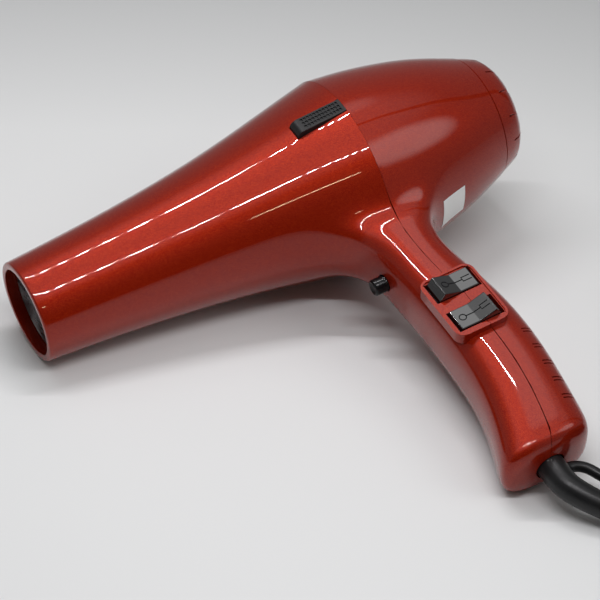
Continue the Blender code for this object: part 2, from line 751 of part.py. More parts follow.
def micro_switch():
    x = MICRO_SWITCH_X
    width, half, length = MICRO_SWITCH[0], MICRO_SWITCH[1] / 2, MICRO_SWITCH[2] / 2
    return bevelled(box("cool_shot_switch", (x, -half, COOL_Z - length),
                        (x + width, half, COOL_Z + length), BLACK), 0.0004, 1)


def handle_screws():
    screws = []
    for kind, z in zip(("upper", "lower"), SCREW_HEIGHTS):
        head = SCREW_SEAT_X + GAP
        top = head + SCREW_HEAD_DEPTH
        profile = ((top, 0.0), (top, SCREW_HEAD_RADIUS * 0.7),
                   (head + SCREW_HEAD_DEPTH * 0.5, SCREW_HEAD_RADIUS), (head, SCREW_HEAD_RADIUS),
                   (head, SCREW_RADIUS), (SCREW_TIP_X + 0.001, SCREW_RADIUS), (SCREW_TIP_X, 0.0))
        screw = turned(f"handle_screw_{kind}", profile, STEEL, steps=12)
        screw.location.z = z
        screws.append(screw)
    return screws


# ================================================================ heater
def heater_radius(x, inset):
    ends = [(end, inner_radius(end)) for end in (HEATER_START_X, HEATER_END_X)]
    return interpolate(ends, x) - HEATER_AIR - inset


def nozzle_grille():
    outer = inner_radius(GRILLE_X) - GAP
    rim = ring("nozzle_grille", GRILLE_X, GRILLE_X + GRILLE_DEPTH, outer - 0.0016, outer, BLACK,
               steps=20)
    rim = as_mesh(rim)
    bars = []
    for i in range(-3, 4):
        y = i * 0.0052
        reach = math.sqrt(outer ** 2 - y ** 2) - 0.0008
        bars.append(box(f"bar_{i}", (GRILLE_X + 0.0004, y - 0.0004, -reach),
                        (GRILLE_X + 0.0020, y + 0.0004, reach), None, CUTTERS))
    cross = outer - 0.0008
    bars.append(box("bar_cross", (GRILLE_X + 0.0006, -cross, -0.0004),
                    (GRILLE_X + 0.0018, cross, 0.0004), None, CUTTERS))
    return fuse(rim, *bars)


def mica_sleeve():
    xs = (HEATER_END_X, HEATER_START_X)
    outside = [(x, heater_radius(x, 0.0)) for x in xs]
    inside = [(x, heater_radius(x, 0.0006)) for x in reversed(xs)]
    return turned("mica_sleeve", outside + inside, MICA, steps=24, closed=True)


def mica_boards():
    """Two tapered boards, halved into each other along the axis."""
    def board(name, turn):
        half = [(HEATER_START_X, heater_radius(HEATER_START_X, 0.0006 + GAP)),
                (HEATER_END_X, heater_radius(HEATER_END_X, 0.0006 + GAP))]
        outline = half + [(x, -y) for x, y in reversed(half)]
        item = plate(name, outline, MICA_THICKNESS, MICA)
        item = as_mesh(item)
        item.rotation_euler = (turn, 0.0, 0.0)
        return item
    flat = board("mica_boards", math.radians(45))
    upright = board("mica_board_upright", math.radians(135))
    CUTTERS.objects.link(upright)
    PARTS.objects.unlink(upright)
    upright.hide_render = True
    upright.display_type = "WIRE"
    return fuse(flat, upright)


def heating_coil():
    """A tapered helix laid round the boards, in notches cut for it."""
    count = COIL_TURNS * COIL_POINTS
    start, end = HEATER_START_X + COIL_START, HEATER_END_X - COIL_END
    points = []
    for i in range(count + 1):
        x = start + (end - start) * i / count
        radius = heater_radius(x, 0.0040)
        angle = 2 * math.pi * i / COIL_POINTS
        points.append((x, radius * math.cos(angle), radius * math.sin(angle)))
    return tube("heating_coil", points, COIL_WIRE_RADIUS, NICHROME, 1)


def coil_notches():
    """The room that the coil's wire takes where it crosses a board."""
    start, end = HEATER_START_X + COIL_START, HEATER_END_X - COIL_END
    half = COIL_WIRE_RADIUS + 3 * GAP
    shape = bmesh.new()
    for turn in range(COIL_TURNS * 4):
        position = (turn + 0.5) / (COIL_TURNS * 4)
        x = start + (end - start) * position
        angle = 2 * math.pi * COIL_TURNS * position
        matrix = (Matrix.Rotation(angle, 4, "X")
                  @ Matrix.Translation((x, heater_radius(x, 0.0034), 0.0))
                  @ Matrix.Diagonal((2 * half, 2 * half + 0.0012, 0.006, 1)))
        bmesh.ops.create_cube(shape, size=1.0, matrix=matrix)
    return add_object("coil_notches", mesh_from_bmesh("coil_notches", shape), None, CUTTERS)


def thermostat():
    """Bimetal cut-out on the boards, clear of the coil."""
    x, distance, lift = HEATER_END_X - 0.010, 0.0150, MICA_THICKNESS / 2 + GAP
    lean = Matrix.Rotation(math.radians(45), 4, "X")
    return cylinder("thermostat", lean @ Vector((x, distance, lift)),
                    lean @ Vector((x, distance, lift + 0.0030)), 0.0045, STEEL, sides=16)


def thermal_fuse():
    x = HEATER_END_X - 0.010
    angle = math.radians(45)
    lift = MICA_THICKNESS / 2 + GAP + 0.0014
    direction = Vector((0.0, math.cos(angle), math.sin(angle)))
    normal = Vector((0.0, -math.sin(angle), math.cos(angle)))
    middle = -direction * 0.0150 + normal * lift
    return cylinder("thermal_fuse", Vector((x - 0.0055, 0, 0)) + middle,
                    Vector((x + 0.0055, 0, 0)) + middle, 0.0014, BRASS, sides=12)


def heater():
    boards = mica_boards()
    cut(boards, coil_notches())
    return [boards, mica_sleeve(), heating_coil(), thermostat(), thermal_fuse()]


# ================================================================ motor and fan
def motor_shaft():
    profile = ((FAN_X + FAN_DEPTH - 0.001, 0.0), (FAN_X + FAN_DEPTH - 0.001, SHAFT_RADIUS),
               (BRACKET_FRONT_X - 0.001, SHAFT_RADIUS), (BRACKET_FRONT_X - 0.001, 0.0))
    return turned("motor_shaft", profile, STEEL, steps=16)


def armature():
    """The slotted core, with the bulge of its windings at both ends."""
    reach = POLE_RADIUS - ARMATURE_CLEARANCE
    slots = 12
    outline = []
    for i in range(slots):
        for offset, radius in ((-0.36, reach), (0.36, reach),
                               (0.42, reach - 0.0032), (0.58, reach - 0.0032)):
            angle = 2 * math.pi * (i + offset) / slots
            outline.append((radius * math.cos(angle), radius * math.sin(angle)))
    core = plate("armature_core", outline, CORE_LENGTH, STEEL)
    core.rotation_euler = (0.0, math.pi / 2, 0.0)
    core.location = (CORE_START_X + CORE_LENGTH / 2, 0.0, 0.0)
    core = as_mesh(core)
    bore = cylinder("armature_bore", (0.09, 0, 0), (0.19, 0, 0), SHAFT_RADIUS + GAP, None,
                    CUTTERS, 16)
    return cut(core, bore)


def armature_windings():
    """The bulge of wire at each end of the core."""
    bulges = []
    inner, outer = SHAFT_RADIUS + GAP, POLE_RADIUS - 0.0026
    for name, start, end in (
            ("front", CORE_START_X - 0.0060, CORE_START_X - GAP),
            ("rear", CORE_START_X + CORE_LENGTH + GAP, CORE_START_X + CORE_LENGTH + 0.0055)):
        soft = 0.0018
        profile = ((end, inner), (end, outer - soft), (end - soft, outer),
                   (start + soft, outer), (start, outer - soft), (start, inner))
        bulges.append(turned(f"armature_winding_{name}", profile, COPPER, steps=14, closed=True))
    return bulges


def commutator():
    end = COMMUTATOR_X + COMMUTATOR_LENGTH
    body = ring("commutator", COMMUTATOR_X, end, SHAFT_RADIUS + GAP, COMMUTATOR_RADIUS, COPPER,
                steps=16)
    body = as_mesh(body)
    shape = bmesh.new()
    for i in range(COMMUTATOR_BARS):
        matrix = (Matrix.Rotation(2 * math.pi * (i + 0.5) / COMMUTATOR_BARS, 4, "X")
                  @ Matrix.Translation(((COMMUTATOR_X + end) / 2, COMMUTATOR_RADIUS, 0.0))
                  @ Matrix.Diagonal((COMMUTATOR_LENGTH + 0.004, 0.0012, 0.0005, 1)))
        bmesh.ops.create_cube(shape, size=1.0, matrix=matrix)
    slots = add_object("commutator_slots", mesh_from_bmesh("commutator_slots", shape), None,
                       CUTTERS)
    return cut(body, slots)


def fan():
    """A cupped hub with swept, twisted blades."""
    hub = turned("fan", (
        (FAN_X + FAN_DEPTH, SHAFT_RADIUS + GAP), (FAN_X + FAN_DEPTH, 0.0060),
        (FAN_X + FAN_DEPTH - 0.0025, FAN_HUB_RADIUS - 0.0025),
        (FAN_X + FAN_DEPTH - 0.0060, FAN_HUB_RADIUS), (FAN_X, FAN_HUB_RADIUS + 0.0006),
        (FAN_X, SHAFT_RADIUS + GAP)), BLACK, steps=21, closed=True)
    hub = as_mesh(hub)
    tip = DUCT_RADIUS - DUCT_WALL - FAN_TIP_CLEARANCE
    shape = bmesh.new()
    stations = 3
    for blade in range(FAN_BLADES):
        base = 2 * math.pi * blade / FAN_BLADES
        rows = []
        for i in range(stations):
            part = i / (stations - 1)
            radius = FAN_HUB_RADIUS - 0.0012 + (tip - FAN_HUB_RADIUS + 0.0012) * part
            pitch = math.radians(58 - 26 * part)
            chord = 0.0135 + 0.0045 * part
            sweep = base + 0.30 * part
            row = []
            for end, half in ((-0.5, 0.0005), (0.0, 0.0009), (0.5, 0.0004)):
                camber = 0.0012 * (1 - 4 * end * end)
                along = end * chord
                x = FAN_X + FAN_DEPTH / 2 + along * math.sin(pitch) * 0.80
                side = along * math.cos(pitch)
                for sign in (1, -1):
                    shift = camber + sign * half
                    angle = sweep + (side + shift * math.sin(pitch)) / radius
                    row.append((x - shift * math.cos(pitch), radius * math.cos(angle),
                                radius * math.sin(angle)))
            top, bottom = row[0::2], row[1::2]
            rows.append([shape.verts.new(point) for point in top + bottom[::-1]])
        for near, far in zip(rows, rows[1:]):
            for i in range(6):
                k = (i + 1) % 6
                shape.faces.new((near[i], near[k], far[k], far[i]))
        shape.faces.new(rows[0][::-1])
        shape.faces.new(rows[-1])
    bmesh.ops.recalc_face_normals(shape, faces=shape.faces)
    blades = add_object("fan_blades", mesh_from_bmesh("fan_blades", shape), None, CUTTERS)
    return fuse(hub, blades)


def motor_carrier():
    """Duct round the fan, stator vanes, and the cup that grips the motor."""
    duct = ring("motor_carrier", DUCT_START_X, DUCT_END_X, DUCT_RADIUS - DUCT_WALL, DUCT_RADIUS,
                WHITE, steps=24)
    duct = as_mesh(duct)
    cup_inner = MOTOR_RADIUS + 2 * GAP
    cup_outer = cup_inner + MOTOR_CUP_WALL
    cup_end = CORE_START_X + CORE_LENGTH + 0.0010
    shape = bmesh.new()
    reach_in, reach_out = cup_outer - 0.0006, DUCT_RADIUS - DUCT_WALL / 2
    for i in range(VANE_COUNT):
        rows = []
        for radius in (reach_in, reach_out):
            row = []
            for step in range(3):
                part = step / 2
                x = DUCT_START_X + 0.0010 + 0.0150 * part
                bend = 0.0045 * (1 - part) ** 2
                angle = 2 * math.pi * i / VANE_COUNT + bend / radius
                half = 0.0006 / radius
                row.append(((x, radius * math.cos(angle + half), radius * math.sin(angle + half)),
                            (x, radius * math.cos(angle - half), radius * math.sin(angle - half))))
            loop = [pair[0] for pair in row] + [pair[1] for pair in reversed(row)]
            rows.append([shape.verts.new(point) for point in loop])
        for j in range(6):
            k = (j + 1) % 6
            shape.faces.new((rows[0][j], rows[0][k], rows[1][k], rows[1][j]))
        shape.faces.new(rows[0][::-1])
        shape.faces.new(rows[1])
    bmesh.ops.recalc_face_normals(shape, faces=shape.faces)
    vanes = add_object("stator_vanes", mesh_from_bmesh("stator_vanes", shape), None, CUTTERS)
    cup = ring("motor_cup", DUCT_START_X, cup_end, cup_inner, cup_outer, None, CUTTERS, steps=16)
    return fuse(duct, cup, vanes)


def rubber_rings():
    rings = []
    for name, start, end in RUBBER_RINGS:
        near = min(inner_radius(start), inner_radius(end)) - 2.2 * GAP
        inner = DUCT_RADIUS + GAP
        profile = ((end, inner), (end, near), (start, near), (start, inner))
        rings.append(turned(f"rubber_ring_{name}", profile, RUBBER, steps=24, closed=True))
    return rings


def stator_core():
    """A ring of laminations with two pole pieces above and below the rotor."""
    end = CORE_START_X + CORE_LENGTH
    yoke = ring("stator_core", CORE_START_X, end, MOTOR_RADIUS - YOKE_WALL, MOTOR_RADIUS, STEEL,
                steps=24)
    yoke = as_mesh(yoke)
    poles = []
    for sign in (1, -1):
        low, high = sorted((sign * (POLE_RADIUS + 0.0008),
                            sign * (MOTOR_RADIUS - YOKE_WALL + 0.0010)))
        neck = box(f"pole_neck_{sign}", (CORE_START_X, -0.0045, low), (end, 0.0045, high), None,
                   CUTTERS)
        arc = []
        for radius, angles in ((POLE_RADIUS + 0.0014, range(-54, 55, 18)),
                               (POLE_RADIUS, range(54, -55, -18))):
            arc += [(radius * math.sin(math.radians(angle)) * sign,
                     radius * math.cos(math.radians(angle)) * sign) for angle in angles]
        shoe = plate(f"pole_shoe_{sign}", arc, CORE_LENGTH, None, CUTTERS)
        shoe.matrix_world = (Matrix.Translation(((CORE_START_X + end) / 2, 0, 0))
                             @ Matrix(((0, 0, 1, 0), (1, 0, 0, 0), (0, 1, 0, 0), (0, 0, 0, 1))))
        poles += [neck, as_mesh(shoe)]
    return fuse(yoke, *poles)


def field_coils():
    coils = []
    end = CORE_START_X + CORE_LENGTH
    for kind, sign in (("upper", 1), ("lower", -1)):
        low, high = sorted((sign * 0.0139, sign * 0.0174))
        outer = box(f"field_coil_{kind}", (CORE_START_X - 0.0035, -0.0088, low),
                    (end + 0.0035, 0.0088, high), COPPER)
        inner = box(f"coil_inner_{kind}", (CORE_START_X - GAP, -0.0045 - GAP, low - 0.01),
                    (end + GAP, 0.0045 + GAP, high + 0.01), None, CUTTERS)
        bevelled(cut(outer, inner), 0.0006, 1)
        outer = as_mesh(outer)
        bpy.data.objects.remove(inner, do_unlink=True)
        coils.append(outer)
    return coils


def end_bracket(name, x, direction):
    """A spider that carries a bearing: hub, three arms, and a rim on the core."""
    depth = BRACKET_DEPTH
    leg_outer, leg_inner = MOTOR_RADIUS - 0.0008, MOTOR_RADIUS - 0.0028
    hub = ring(name, x, x + depth, 0.0042 + GAP, 0.0068, STEEL, steps=12)
    hub = as_mesh(hub)
    core_face = CORE_START_X - GAP if direction > 0 else CORE_START_X + CORE_LENGTH + GAP
    pieces = []
    low, high = sorted((x if direction > 0 else x + depth, core_face))
    for side in (1, -1):
        start, end = sorted((side * 0.0060, side * (leg_outer - 0.0005)))
        pieces.append(box(f"{name}_arm_{side}", (x + 0.0002, start, -0.0032),
                          (x + depth - 0.0002, end, 0.0032), None, CUTTERS))
        start, end = sorted((side * leg_inner, side * leg_outer))
        pieces.append(box(f"{name}_leg_{side}", (low, start, -0.0035), (high, end, 0.0035),
                          None, CUTTERS))
    return fuse(hub, *pieces)


def bearings():
    return [ring(f"shaft_bearing_{kind}", x, x + BRACKET_DEPTH, SHAFT_RADIUS + GAP, 0.0040,
                 BRASS, steps=12)
            for kind, x in (("front", BRACKET_FRONT_X), ("rear", BRACKET_REAR_X))]


def carbon_brushes():
    middle = COMMUTATOR_X + COMMUTATOR_LENGTH / 2
    items = []
    for kind, side in (("upper", 1), ("lower", -1)):
        low, high = sorted((side * (COMMUTATOR_RADIUS + GAP), side * 0.0125))
        items.append(box(f"carbon_brush_{kind}", (middle - 0.0022, -0.0016, low),
                         (middle + 0.0022, 0.0016, high), CARBON))
    return items


def brush_holders():
    middle = COMMUTATOR_X + COMMUTATOR_LENGTH / 2
    items = []
    for kind, side in (("upper", 1), ("lower", -1)):
        low, high = sorted((side * 0.0075, side * 0.0150))
        tube_box = box(f"brush_holder_{kind}", (middle - 0.0032, -0.0026, low),
                       (middle + 0.0032, 0.0026, high), BRASS)
        hollow = box(f"holder_hollow_{kind}", (middle - 0.0022 - GAP, -0.0016 - GAP, low - 0.01),
                     (middle + 0.0022 + GAP, 0.0016 + GAP, high + 0.01), None, CUTTERS)
        cut(tube_box, hollow)
        tube_box = as_mesh(tube_box)
        bpy.data.objects.remove(hollow, do_unlink=True)
        items.append(tube_box)
    return items


# ================================================================ rear cap
def rear_cap():
    """Twist-on cap: a domed shell with radial slots, and a skirt in the housing."""
    wall = 0.0018
    mouth = outer_radius(CAP_X) - 0.0005
    outside = [(CAP_END_X, 0.0), (CAP_END_X, CAP_RIM_RADIUS - 0.0060),
               (CAP_END_X - 0.0010, CAP_RIM_RADIUS - 0.0028), (CAP_RIM_X, CAP_RIM_RADIUS),
               (CAP_X + GAP, mouth), (CAP_X + GAP, inner_radius(CAP_X) - 2 * GAP),
               (CAP_X - CAP_SKIRT_DEPTH, inner_radius(CAP_X) - 2 * GAP),
               (CAP_X - CAP_SKIRT_DEPTH, inner_radius(CAP_X) - 2 * GAP - wall),
               (CAP_X + 0.0020, inner_radius(CAP_X) - 2 * GAP - wall),
               (CAP_RIM_X - 0.0010, CAP_RIM_RADIUS - wall - 0.0008),
               (CAP_END_X - wall, CAP_RIM_RADIUS - 0.0070), (CAP_END_X - wall, 0.0)]
    cap = turned("rear_filter_cap", outside, RED, steps=2 * CAP_SLOTS)
    cap = as_mesh(cap)
    shape = bmesh.new()
    reach = CAP_RIM_RADIUS + 0.006
    for i in range(CAP_SLOTS):
        matrix = (Matrix.Rotation(2 * math.pi * (i + 0.5) / CAP_SLOTS, 4, "X")
                  @ Matrix.Translation(((CAP_SLOT_START_X + 0.25) / 2, 0.0,
                                        (CAP_HUB_RADIUS + 0.003 + reach) / 2))
                  @ Matrix.Diagonal((0.25 - CAP_SLOT_START_X, CAP_SLOT_WIDTH,
                                     reach - CAP_HUB_RADIUS - 0.003, 1)))
        bmesh.ops.create_cube(shape, size=1.0, matrix=matrix)
    slots = add_object("cap_slots", mesh_from_bmesh("cap_slots", shape), None, CUTTERS)
    return cut(cap, slots)


def filter_mesh():
    """The screen behind the slots, framed by a ring in the cap's skirt."""
    outer = inner_radius(CAP_X) - 3 * GAP - 0.0018
    x = CAP_X + 0.0010
    profile = ((x, 0.0), (x, outer), (x - 0.0030, outer), (x - 0.0030, outer - 0.0015),
               (x - 0.0008, outer - 0.0015), (x - 0.0008, 0.0))
    return turned("filter_mesh", profile, STEEL, steps=16)


# ================================================================ handle inside
def suppressor():
    """Interference-suppression capacitor."""
    side = handle_half(-0.1520) - WALL - GAP
    low = (0.1490, side - 0.0125, -0.1520)
    high = (0.1650, side, -0.1350)
    return bevelled(box("suppressor_capacitor", low, high, BRASS), 0.0010, 2)


def cord_clamp():
    """Saddle across the handle that holds the cord's jacket, held between its sides."""
    z = CLAMP_Z
    reach = handle_half(z) - WALL - 2 * GAP
    bar = box("cord_clamp", (0.1440, -reach, z - 0.0030), (0.1470, reach, z + 0.0030), WHITE)
    groove = cylinder("clamp_groove", (0.1485, 0, z - 0.01), (0.1485, 0, z + 0.01),
                      CORD_RADIUS, None, CUTTERS, 16)
    return cut(bar, groove)


# ================================================================ lying pose
def housing_points(items):
    points = []
    for item in items:
        mesh = evaluated_mesh(item)
        flat = np.empty(len(mesh.vertices) * 3)
        mesh.vertices.foreach_get("co", flat)
        local = np.c_[flat.reshape(-1, 3), np.ones(len(mesh.vertices))]
        points.append((local @ np.array(item.matrix_world).T)[:, :3])
        bpy.data.meshes.remove(mesh)
    return np.vstack(points)


def lying_matrix(housings, everything):
    """Lays the dryer on its nozzle rim, its widest circle and the foot of its handle."""
    points = housing_points(housings)
    feet = (points[:, 0] < FRONT_PROFILE[1][0],
            (points[:, 0] > FRONT_PROFILE[-4][0]) & (points[:, 2] > HANDLE_STATIONS[0][0]),
            points[:, 2] < HANDLE_STATIONS[-2][0])
    up = np.array((0.0, -1.0, 0.0))
    for _ in range(12):
        lowest = [points[foot][np.argmin(points[foot] @ up)] for foot in feet]
        up = np.cross(lowest[1] - lowest[0], lowest[2] - lowest[0])
        up *= -np.sign(up[1]) / np.linalg.norm(up)
    along = np.array((1.0, 0.0, 0.0)) - up * up[0]
    along /= np.linalg.norm(along)
    turn = np.array((along, np.cross(up, along), up))
    placed = housing_points(everything) @ turn.T
    low, high = placed.min(axis=0), placed.max(axis=0)
    matrix = Matrix(turn.tolist()).to_4x4()
    matrix.translation = (-(low[0] + high[0]) / 2, -(low[1] + high[1]) / 2, -low[2])
    return matrix


# ================================================================ cord
def relief_route(exit_point):
    end_height = RELIEF_END_RADIUS + GAP
    return [Vector((exit_point.x + x, exit_point.y + y,
                    exit_point.z + (end_height - exit_point.z) * share))
            for x, y, share in RELIEF_ROUTE]


def strain_relief(matrix):
    """Tapered sleeve with a hanging loop moulded on, held by a collar in the foot."""
    exit_point = matrix @ Vector((EXIT_X, 0.0, HANDLE_END_Z))
    inner_face = HANDLE_END_Z + WALL + 2 * GAP
    inside = matrix @ Vector((EXIT_X, 0.0, inner_face + 0.0010))
    route = [inside, *smooth_path(relief_route(exit_point), 0.0070)]
    sleeve = tube("strain_relief", route, 1.0, RUBBER, 2)
    travelled = 0.0
    spline = sleeve.data.splines[0]
    total = sum((b - a).length for a, b in zip(route[1:], route[2:]))
    for i, point in enumerate(spline.points):
        if i > 1:
            travelled += (route[i] - route[i - 1]).length
        share = travelled / total
        point.radius = RELIEF_START_RADIUS + (RELIEF_END_RADIUS - RELIEF_START_RADIUS) * share
    sleeve = as_mesh(sleeve)
    collar = cylinder("relief_collar", matrix @ Vector((EXIT_X, 0.0, inner_face)),
                      matrix @ Vector((EXIT_X, 0.0, inner_face + 0.0020)),
                      RELIEF_COLLAR_RADIUS, None, CUTTERS, 14)
    loop = tube("relief_loop", smooth_path([exit_point + Vector(point) for point in LOOP_ROUTE],
                                           0.0055), LOOP_RADIUS, None, 2, CUTTERS)
    return fuse(sleeve, collar, as_mesh(loop)), route[-1], route[-1] - route[-2]


def coil_centre(exit_point):
    return Vector((exit_point.x + COIL_OFFSET[0], exit_point.y + COIL_OFFSET[1], 0.0))


def power_cord(exit_point, start, heading):
    """The stretch from the sleeve to the coil, tangent to the coil's outer turn."""
    centre = coil_centre(exit_point)
    outer = COIL_MEAN_RADIUS + COIL_PITCH * (COIL_COLUMNS - 1) / 2
    to_centre = Vector((centre.x - start.x, centre.y - start.y))
    swing = math.asin(outer / to_centre.length)
    angle = math.atan2(to_centre.y, to_centre.x) - swing
    ring_edge = outer + CORD_RADIUS + 2 * GAP
    clear = math.sqrt(ring_edge ** 2 - (outer - CORD_RADIUS) ** 2)
    reach = math.sqrt(to_centre.length ** 2 - outer ** 2) - clear
    direction = Vector((math.cos(angle), math.sin(angle), 0.0))
    height = CORD_RADIUS + GAP
    first = start + heading.normalized() * GAP
    points = [first, first + heading.normalized() * 0.004,
              Vector((*(start + direction * reach * 0.6).xy, height)),
              Vector((*(start + direction * reach).xy, height))]
    return tube("power_cord", smooth_path(points, 0.0060), CORD_RADIUS, RUBBER, 2)


def cord_coil(exit_point):
    """The outer shape of the wound-up length."""
    centre = coil_centre(exit_point)
    half = COIL_PITCH * COIL_COLUMNS / 2
    inner, outer = COIL_MEAN_RADIUS - half, COIL_MEAN_RADIUS + half
    top = COIL_PITCH * COIL_LAYERS + GAP
    soft = 0.0015
    mesh = bpy.data.meshes.new("cord_coil")
    profile = ((outer - soft, top), (outer, top - soft), (outer, soft), (outer - soft, 0.0001),
               (inner + soft, 0.0001), (inner, soft), (inner, top - soft), (inner + soft, top))
    mesh.from_pydata([(radius, 0.0, z) for radius, z in profile],
                     [(i, (i + 1) % len(profile)) for i in range(len(profile))], [])
    item = add_object("cord_coil", mesh, RUBBER)
    screw = item.modifiers.new("turn", "SCREW")
    screw.steps = screw.render_steps = 20
    screw.use_merge_vertices = True
    screw.merge_threshold = 0.00001
    item.location = centre
    return item


def tail_frame(exit_point):
    """Where the cord's end lies on top of the coil: point, heading and side."""
    centre = coil_centre(exit_point)
    outer = COIL_MEAN_RADIUS + COIL_PITCH * (COIL_COLUMNS - 1) / 2
    out = Vector((math.cos(COIL_END_ANGLE), math.sin(COIL_END_ANGLE), 0.0))
    side = Vector((-out.y, out.x, 0.0))
    height = COIL_PITCH * COIL_LAYERS + 2 * GAP + CORD_RADIUS
    turn_centre = centre + out * (outer - TAIL_BEND) + Vector((0.0, 0.0, height))
    return turn_centre, out, side


def cord_tail(exit_point):
    turn_centre, out, side = tail_frame(exit_point)
    points = [turn_centre + (out * math.cos(angle) + side * math.sin(angle)) * TAIL_BEND
              for angle in np.radians(range(0, 91, 15))]
    points.append(points[-1] - out * 0.004)
    return tube("cord_tail", smooth_path(points, 0.0100), CORD_RADIUS, RUBBER, 2)


def plug(exit_point):
    """Moulded two-pin plug, lying on the coil."""
    turn_centre, out, side = tail_frame(exit_point)
    back = turn_centre + side * TAIL_BEND - out * (0.004 + GAP)
    lift = PLUG_THICKNESS / 2 - CORD_RADIUS
    half = PLUG_WIDTH / 2
    outline = [(0.0, 0.0065), (0.0120, 0.0075), (0.0200, half - 0.0030),
               (0.0240, half), (PLUG_LENGTH - 0.0010, half), (PLUG_LENGTH, half - 0.0010)]
    outline += [(x, -y) for x, y in reversed(outline)]
    body = as_mesh(plate("plug_body", outline, PLUG_THICKNESS, RUBBER))
    bevelled(body, 0.0040, 2, 60)
    turn = Matrix((-out, -side, Vector((0.0, 0.0, 1.0)))).transposed().to_4x4()
    body.matrix_world = Matrix.Translation(back + Vector((0.0, 0.0, lift))) @ turn
    pins = []
    for kind, sign in (("left", 1), ("right", -1)):
        foot = body.matrix_world @ Vector((PLUG_LENGTH + GAP, sign * PLUG_PIN_SPACING / 2, 0.0))
        pins.append(cylinder(f"plug_pin_{kind}", foot, foot - out * PLUG_PIN_LENGTH,
                             PLUG_PIN_RADIUS, BRASS, sides=12))
    return [body, *pins]


# ================================================================ build
def build_dryer():
    front, rear = housing()
    fixed = [front, rear, grip_pad(), *handle_screws(), nozzle_grille(), *heater(),
             motor_carrier(), *rubber_rings(), stator_core(), *field_coils(),
             end_bracket("front_bracket", BRACKET_FRONT_X, 1),
             end_bracket("rear_bracket", BRACKET_REAR_X, -1), *bearings(), *carbon_brushes(),
             *brush_holders(), suppressor(), cord_clamp(), micro_switch(), filter_mesh()]
    for (kind, z), tilt in zip(ROCKER_HEIGHTS, (ROCKER_TILT, -ROCKER_TILT)):
        fixed += [switch_body(kind, z), rocker_cap(kind, z, tilt)]
    fixed += [cool_shot(), cool_spring(), motor_shaft(), armature(), *armature_windings(),
              commutator(), fan(), rear_cap()]
    return fixed


def lay_down(items):
    """Puts the dryer's frame under one empty and lays it on the surface."""
    bpy.context.view_layer.update()
    matrix = lying_matrix(items[:2], items)
    frame = bpy.data.objects.new("dryer_frame", None)
    PARTS.objects.link(frame)
    frame.matrix_world = matrix
    for item in [*PARTS.objects, *CUTTERS.objects]:
        if item is not frame and item.parent is None:
            item.parent = frame
    return matrix


def build_cord(matrix):
    exit_point = matrix @ Vector((EXIT_X, 0.0, HANDLE_END_Z))
    _, end, heading = strain_relief(matrix)
    power_cord(exit_point, end, heading)
    cord_coil(exit_point)
    cord_tail(exit_point)
    plug(exit_point)


build_cord(lay_down(build_dryer()))
for piece in PARTS.objects:
    if piece.type == "MESH":
        smooth(piece)
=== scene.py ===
"""A hair dryer lying on its side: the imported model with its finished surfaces, in a studio."""
import json
import math

import bmesh
import bpy
import numpy as np
from mathutils import Matrix, Vector
from mathutils.bvhtree import BVHTree

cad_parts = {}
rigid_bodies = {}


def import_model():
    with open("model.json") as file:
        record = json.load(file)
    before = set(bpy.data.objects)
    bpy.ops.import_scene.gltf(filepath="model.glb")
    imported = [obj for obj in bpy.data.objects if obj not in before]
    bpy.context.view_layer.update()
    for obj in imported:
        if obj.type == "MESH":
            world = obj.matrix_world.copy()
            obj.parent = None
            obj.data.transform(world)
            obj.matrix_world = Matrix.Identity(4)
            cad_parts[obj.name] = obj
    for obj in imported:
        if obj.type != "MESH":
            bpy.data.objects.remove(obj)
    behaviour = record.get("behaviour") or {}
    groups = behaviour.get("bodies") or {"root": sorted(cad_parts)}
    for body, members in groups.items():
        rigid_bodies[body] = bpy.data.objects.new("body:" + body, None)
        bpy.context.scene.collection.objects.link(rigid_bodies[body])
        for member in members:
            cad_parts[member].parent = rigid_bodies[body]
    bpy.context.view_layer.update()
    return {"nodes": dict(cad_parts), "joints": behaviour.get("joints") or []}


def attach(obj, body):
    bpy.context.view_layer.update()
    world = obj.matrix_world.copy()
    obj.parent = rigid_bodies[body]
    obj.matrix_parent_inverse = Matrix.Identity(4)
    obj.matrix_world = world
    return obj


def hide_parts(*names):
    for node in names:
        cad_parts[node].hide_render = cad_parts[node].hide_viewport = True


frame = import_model()
SCENE = bpy.context.scene

# Sizes in metres, in the dryer's own frame: x along the barrel from the nozzle's rim to the
# rear, z away from the handle, -y the side with the rockers.
NOZZLE_RADIUS = 0.0230
SEAM_X = 0.1575                 # the widest place, where the two housings meet
SEAM_RADIUS = 0.0449
MOUTH_X = 0.2264                # the rear end of the housing, where the cap sits
MOUTH_RADIUS = 0.0293
BODY_SWELL_FRONT = (            # distance from the rim, share of nozzle-to-seam growth
    (0.0000, 0.000), (0.0450, 0.137), (0.0940, 0.397), (0.1315, 0.753), (0.1445, 0.881))
BODY_SWELL_REAR = (             # distance from the rim, share of mouth-to-seam growth
    (0.1690, 0.936), (0.1800, 0.853), (0.2050, 0.545), (MOUTH_X, 0.000))
ROOT_FRONT_X = 0.1315           # the handle grows out of the body between these
ROOT_REAR_X = 0.1800
WALL = 0.0022
GAP = 0.0003                    # between pieces that touch
SEAM_GAP = 0.0001
WELD = 0.00001
FINE_WELD = 0.000001
RING_SIDES = 16
RIM_INNER_RADIUS = 0.0197
RIM_ROUNDING = (                # from and to which radius, width, segments
    (0.0222, 0.0240, 0.0009, 4), (0.0190, 0.0204, 0.0005, 3))
HANDLE_STATIONS = (             # height, front x, rear x, half thickness
    (-0.0540, 0.1403, 0.1708, 0.0166), (-0.0700, 0.1411, 0.1707, 0.0164),
    (-0.0900, 0.1420, 0.1752, 0.0169), (-0.1130, 0.1416, 0.1776, 0.0169),
    (-0.1350, 0.1400, 0.1766, 0.0164), (-0.1540, 0.1356, 0.1738, 0.0159),
    (-0.1690, 0.1298, 0.1716, 0.0153))
HANDLE_END_Z = -0.1818
